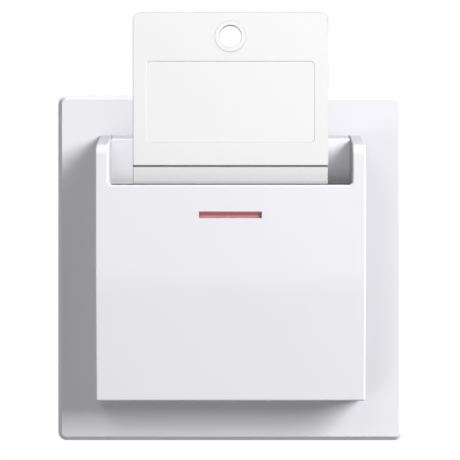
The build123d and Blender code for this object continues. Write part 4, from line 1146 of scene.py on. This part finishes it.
low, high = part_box("plate_rivets")
rivets = grow(
    "plate_rivets_finished",
    rivet_tree(),
    corner_seats("plate_rivets", RIVET_HEAD[0], low.y + RIVET_HEAD[1] * MM),
    head_direction=TO_FRONT,
    head_radius=RIVET_HEAD[0] * MM,
    head_height=RIVET_HEAD[1] * MM,
    shank_radius=1.2 * MM,
    grip=high.y - low.y - (RIVET_HEAD[1] + RIVET_TAIL[1]) * MM,
    tail_radius=RIVET_TAIL[0] * MM,
    tail_height=RIVET_TAIL[1] * MM,
    seed=17,
    material=zinc_screw,
)
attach(rivets, body_of_node["plate_rivets"])
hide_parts("plate_rivets")

low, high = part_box("return_spring")
WIRE = 0.18 * MM
spring_axis = ((low.x + high.x) / 2, (low.y + high.y) / 2)
spring = grow(
    "return_spring_finished",
    coil_tree(),
    [(*spring_axis, low.z + WIRE)],
    coil_radius=(high.y - low.y) / 2 - WIRE,
    wire_radius=WIRE,
    length=high.z - low.z - 2 * WIRE,
    turns=9.0,
    closed_share=0.1,
    material=spring_steel,
)
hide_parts("return_spring")
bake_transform(spring)


# Floor, light and camera
def rays_that_see_the_backdrop(tree):
    """Give 1 for rays that show the backdrop itself, and 0 for light that bounces off it."""
    path = add(tree, "ShaderNodeLightPath")
    shown = path.outputs["Is Camera Ray"]
    for other in ("Is Glossy Ray", "Is Transmission Ray"):
        either = add(tree, "ShaderNodeMath", {0: shown, 1: path.outputs[other]}, operation="MAXIMUM")
        shown = either.outputs[0]
    return shown


FLOOR_WHITE = 0.96              # how much of the floor is plain white to the camera


def make_floor():
    """Lay a plain pale floor far under the object, which hangs on a wall in use."""
    radius, height, sides = 3.4, -0.6, 96
    mesh = bpy.data.meshes.new("floor")
    turns = [2 * math.pi * side / sides for side in range(sides)]
    corners = [(radius * math.cos(turn), radius * math.sin(turn), height) for turn in turns]
    mesh.from_pydata(corners, [], [tuple(range(sides))])
    material, tree, place = start_material("matt_painted_floor")
    clouds = add(tree, "ShaderNodeTexNoise", {"Vector": place, "Scale": per_feature(200), "Detail": 2.0})
    paint = add(
        tree,
        "ShaderNodeMix",
        {0: clouds.outputs["Fac"], 6: linear("#f4f4f4"), 7: linear("#f8f8f8")},
        data_type="RGBA",
    )
    painted = add(tree, "ShaderNodeBsdfPrincipled", {"Base Color": paint.outputs[2], "Roughness": 0.9})
    white = add(tree, "ShaderNodeEmission", {"Color": linear("#ffffff"), "Strength": 1.0})
    seen_rays = rays_that_see_the_backdrop(tree)
    share = add(tree, "ShaderNodeMath", {0: seen_rays, 1: FLOOR_WHITE}, operation="MULTIPLY")
    both = add(
        tree, "ShaderNodeMixShader", {0: share.outputs[0], 1: painted.outputs[0], 2: white.outputs[0]}
    )
    add(tree, "ShaderNodeOutputMaterial", {"Surface": both.outputs[0]})
    mesh.materials.append(material)
    floor = bpy.data.objects.new("floor", mesh)
    scene.collection.objects.link(floor)


LAMP_DISTANCE = 1.0             # metres from the middle of the object
AMBIENT = 0.11                  # strength of the light that comes from all around
TO_KEY, KEY_SIZE, KEY_WATTS = (1.33, -1.0, 0.77), (0.34, 0.6), 13.0
SMALL, WIDE = (0.4, 0.4), (0.5, 0.5)


def soft_light(name, toward, size, watts):
    """Hang a soft rectangular lamp in a direction from the middle of the object, facing it."""
    lamp = bpy.data.lights.new(name, "AREA")
    lamp.shape = "RECTANGLE"
    lamp.size, lamp.size_y = size
    lamp.energy = watts
    lamp.cycles.max_bounces = 0
    lamp_object = bpy.data.objects.new(name, lamp)
    scene.collection.objects.link(lamp_object)
    away = Vector(toward).normalized()
    lamp_object.location = away * LAMP_DISTANCE
    lamp_object.rotation_euler = away.to_track_quat("Z", "Y").to_euler()
    return lamp_object


def named_group(name, pieces, state):
    """Group pieces for a lamp, which works on these alone (INCLUDE) or on all but these (EXCLUDE)."""
    group = bpy.data.collections.new(name)
    for piece in pieces:
        group.objects.link(piece)
    for row in group.collection_objects:
        row.light_linking.link_state = state
    return group


make_floor()
key_lamp = soft_light("key_lamp", TO_KEY, KEY_SIZE, KEY_WATTS)
card_lamp = soft_light("card_key_lamp", TO_KEY, KEY_SIZE, KEY_WATTS)
soft_light("top_lamp", (0.6, -0.4, 1.0), SMALL, 1.2)
for fill_lamp in (
    soft_light("upper_fill_lamp", (-0.5, -1.0, 0.9), SMALL, 1.35),
    soft_light("lower_fill_lamp", (-0.8, -1.0, -0.4), SMALL, 1.3),
):
    fill_lamp.visible_glossy = False      # a fill lamp only lifts the shade and leaves no sheen
soft_light("back_lamp", (-0.5, 1.0, 0.5), WIDE, 10.0)

# In the photo the cover throws no shadow on the card, so the card has a key lamp of its own.
key_lamp.light_linking.receiver_collection = named_group("all_but_the_card", card_pieces, "EXCLUDE")
card_lamp.light_linking.receiver_collection = named_group("the_card", card_pieces, "INCLUDE")
card_lamp.light_linking.blocker_collection = named_group("all_but_the_cover", [cover_piece], "EXCLUDE")

world = bpy.data.worlds.new("studio")
scene.world = world
world.use_nodes = True
world.node_tree.nodes.clear()
seen = add(world.node_tree, "ShaderNodeBackground", {"Color": linear("#ffffff"), "Strength": 1.0})
ambient = add(
    world.node_tree, "ShaderNodeBackground", {"Color": linear("#fcfcff"), "Strength": AMBIENT}
)
either = add(
    world.node_tree,
    "ShaderNodeMixShader",
    {0: rays_that_see_the_backdrop(world.node_tree), 1: ambient.outputs[0], 2: seen.outputs[0]},
)
add(world.node_tree, "ShaderNodeOutputWorld", {"Surface": either.outputs[0]})

# The lens and distance give the photo's size of the frame and of the cover in front of it.
LENS_MM, SENSOR_MM = 133.0, 36.0
CAMERA_PLACE = (-0.0001, -0.4105, 0.009)

camera = bpy.data.cameras.new("camera")
camera.lens, camera.sensor_width = LENS_MM, SENSOR_MM
camera.clip_start, camera.clip_end = 0.01, 10.0
camera_object = bpy.data.objects.new("camera", camera)
camera_object.location = CAMERA_PLACE
camera_object.rotation_euler = (math.radians(90), 0.0, 0.0)      # level, and square to the wall
scene.collection.objects.link(camera_object)
scene.camera = camera_object
scene.view_settings.view_transform = "Standard"
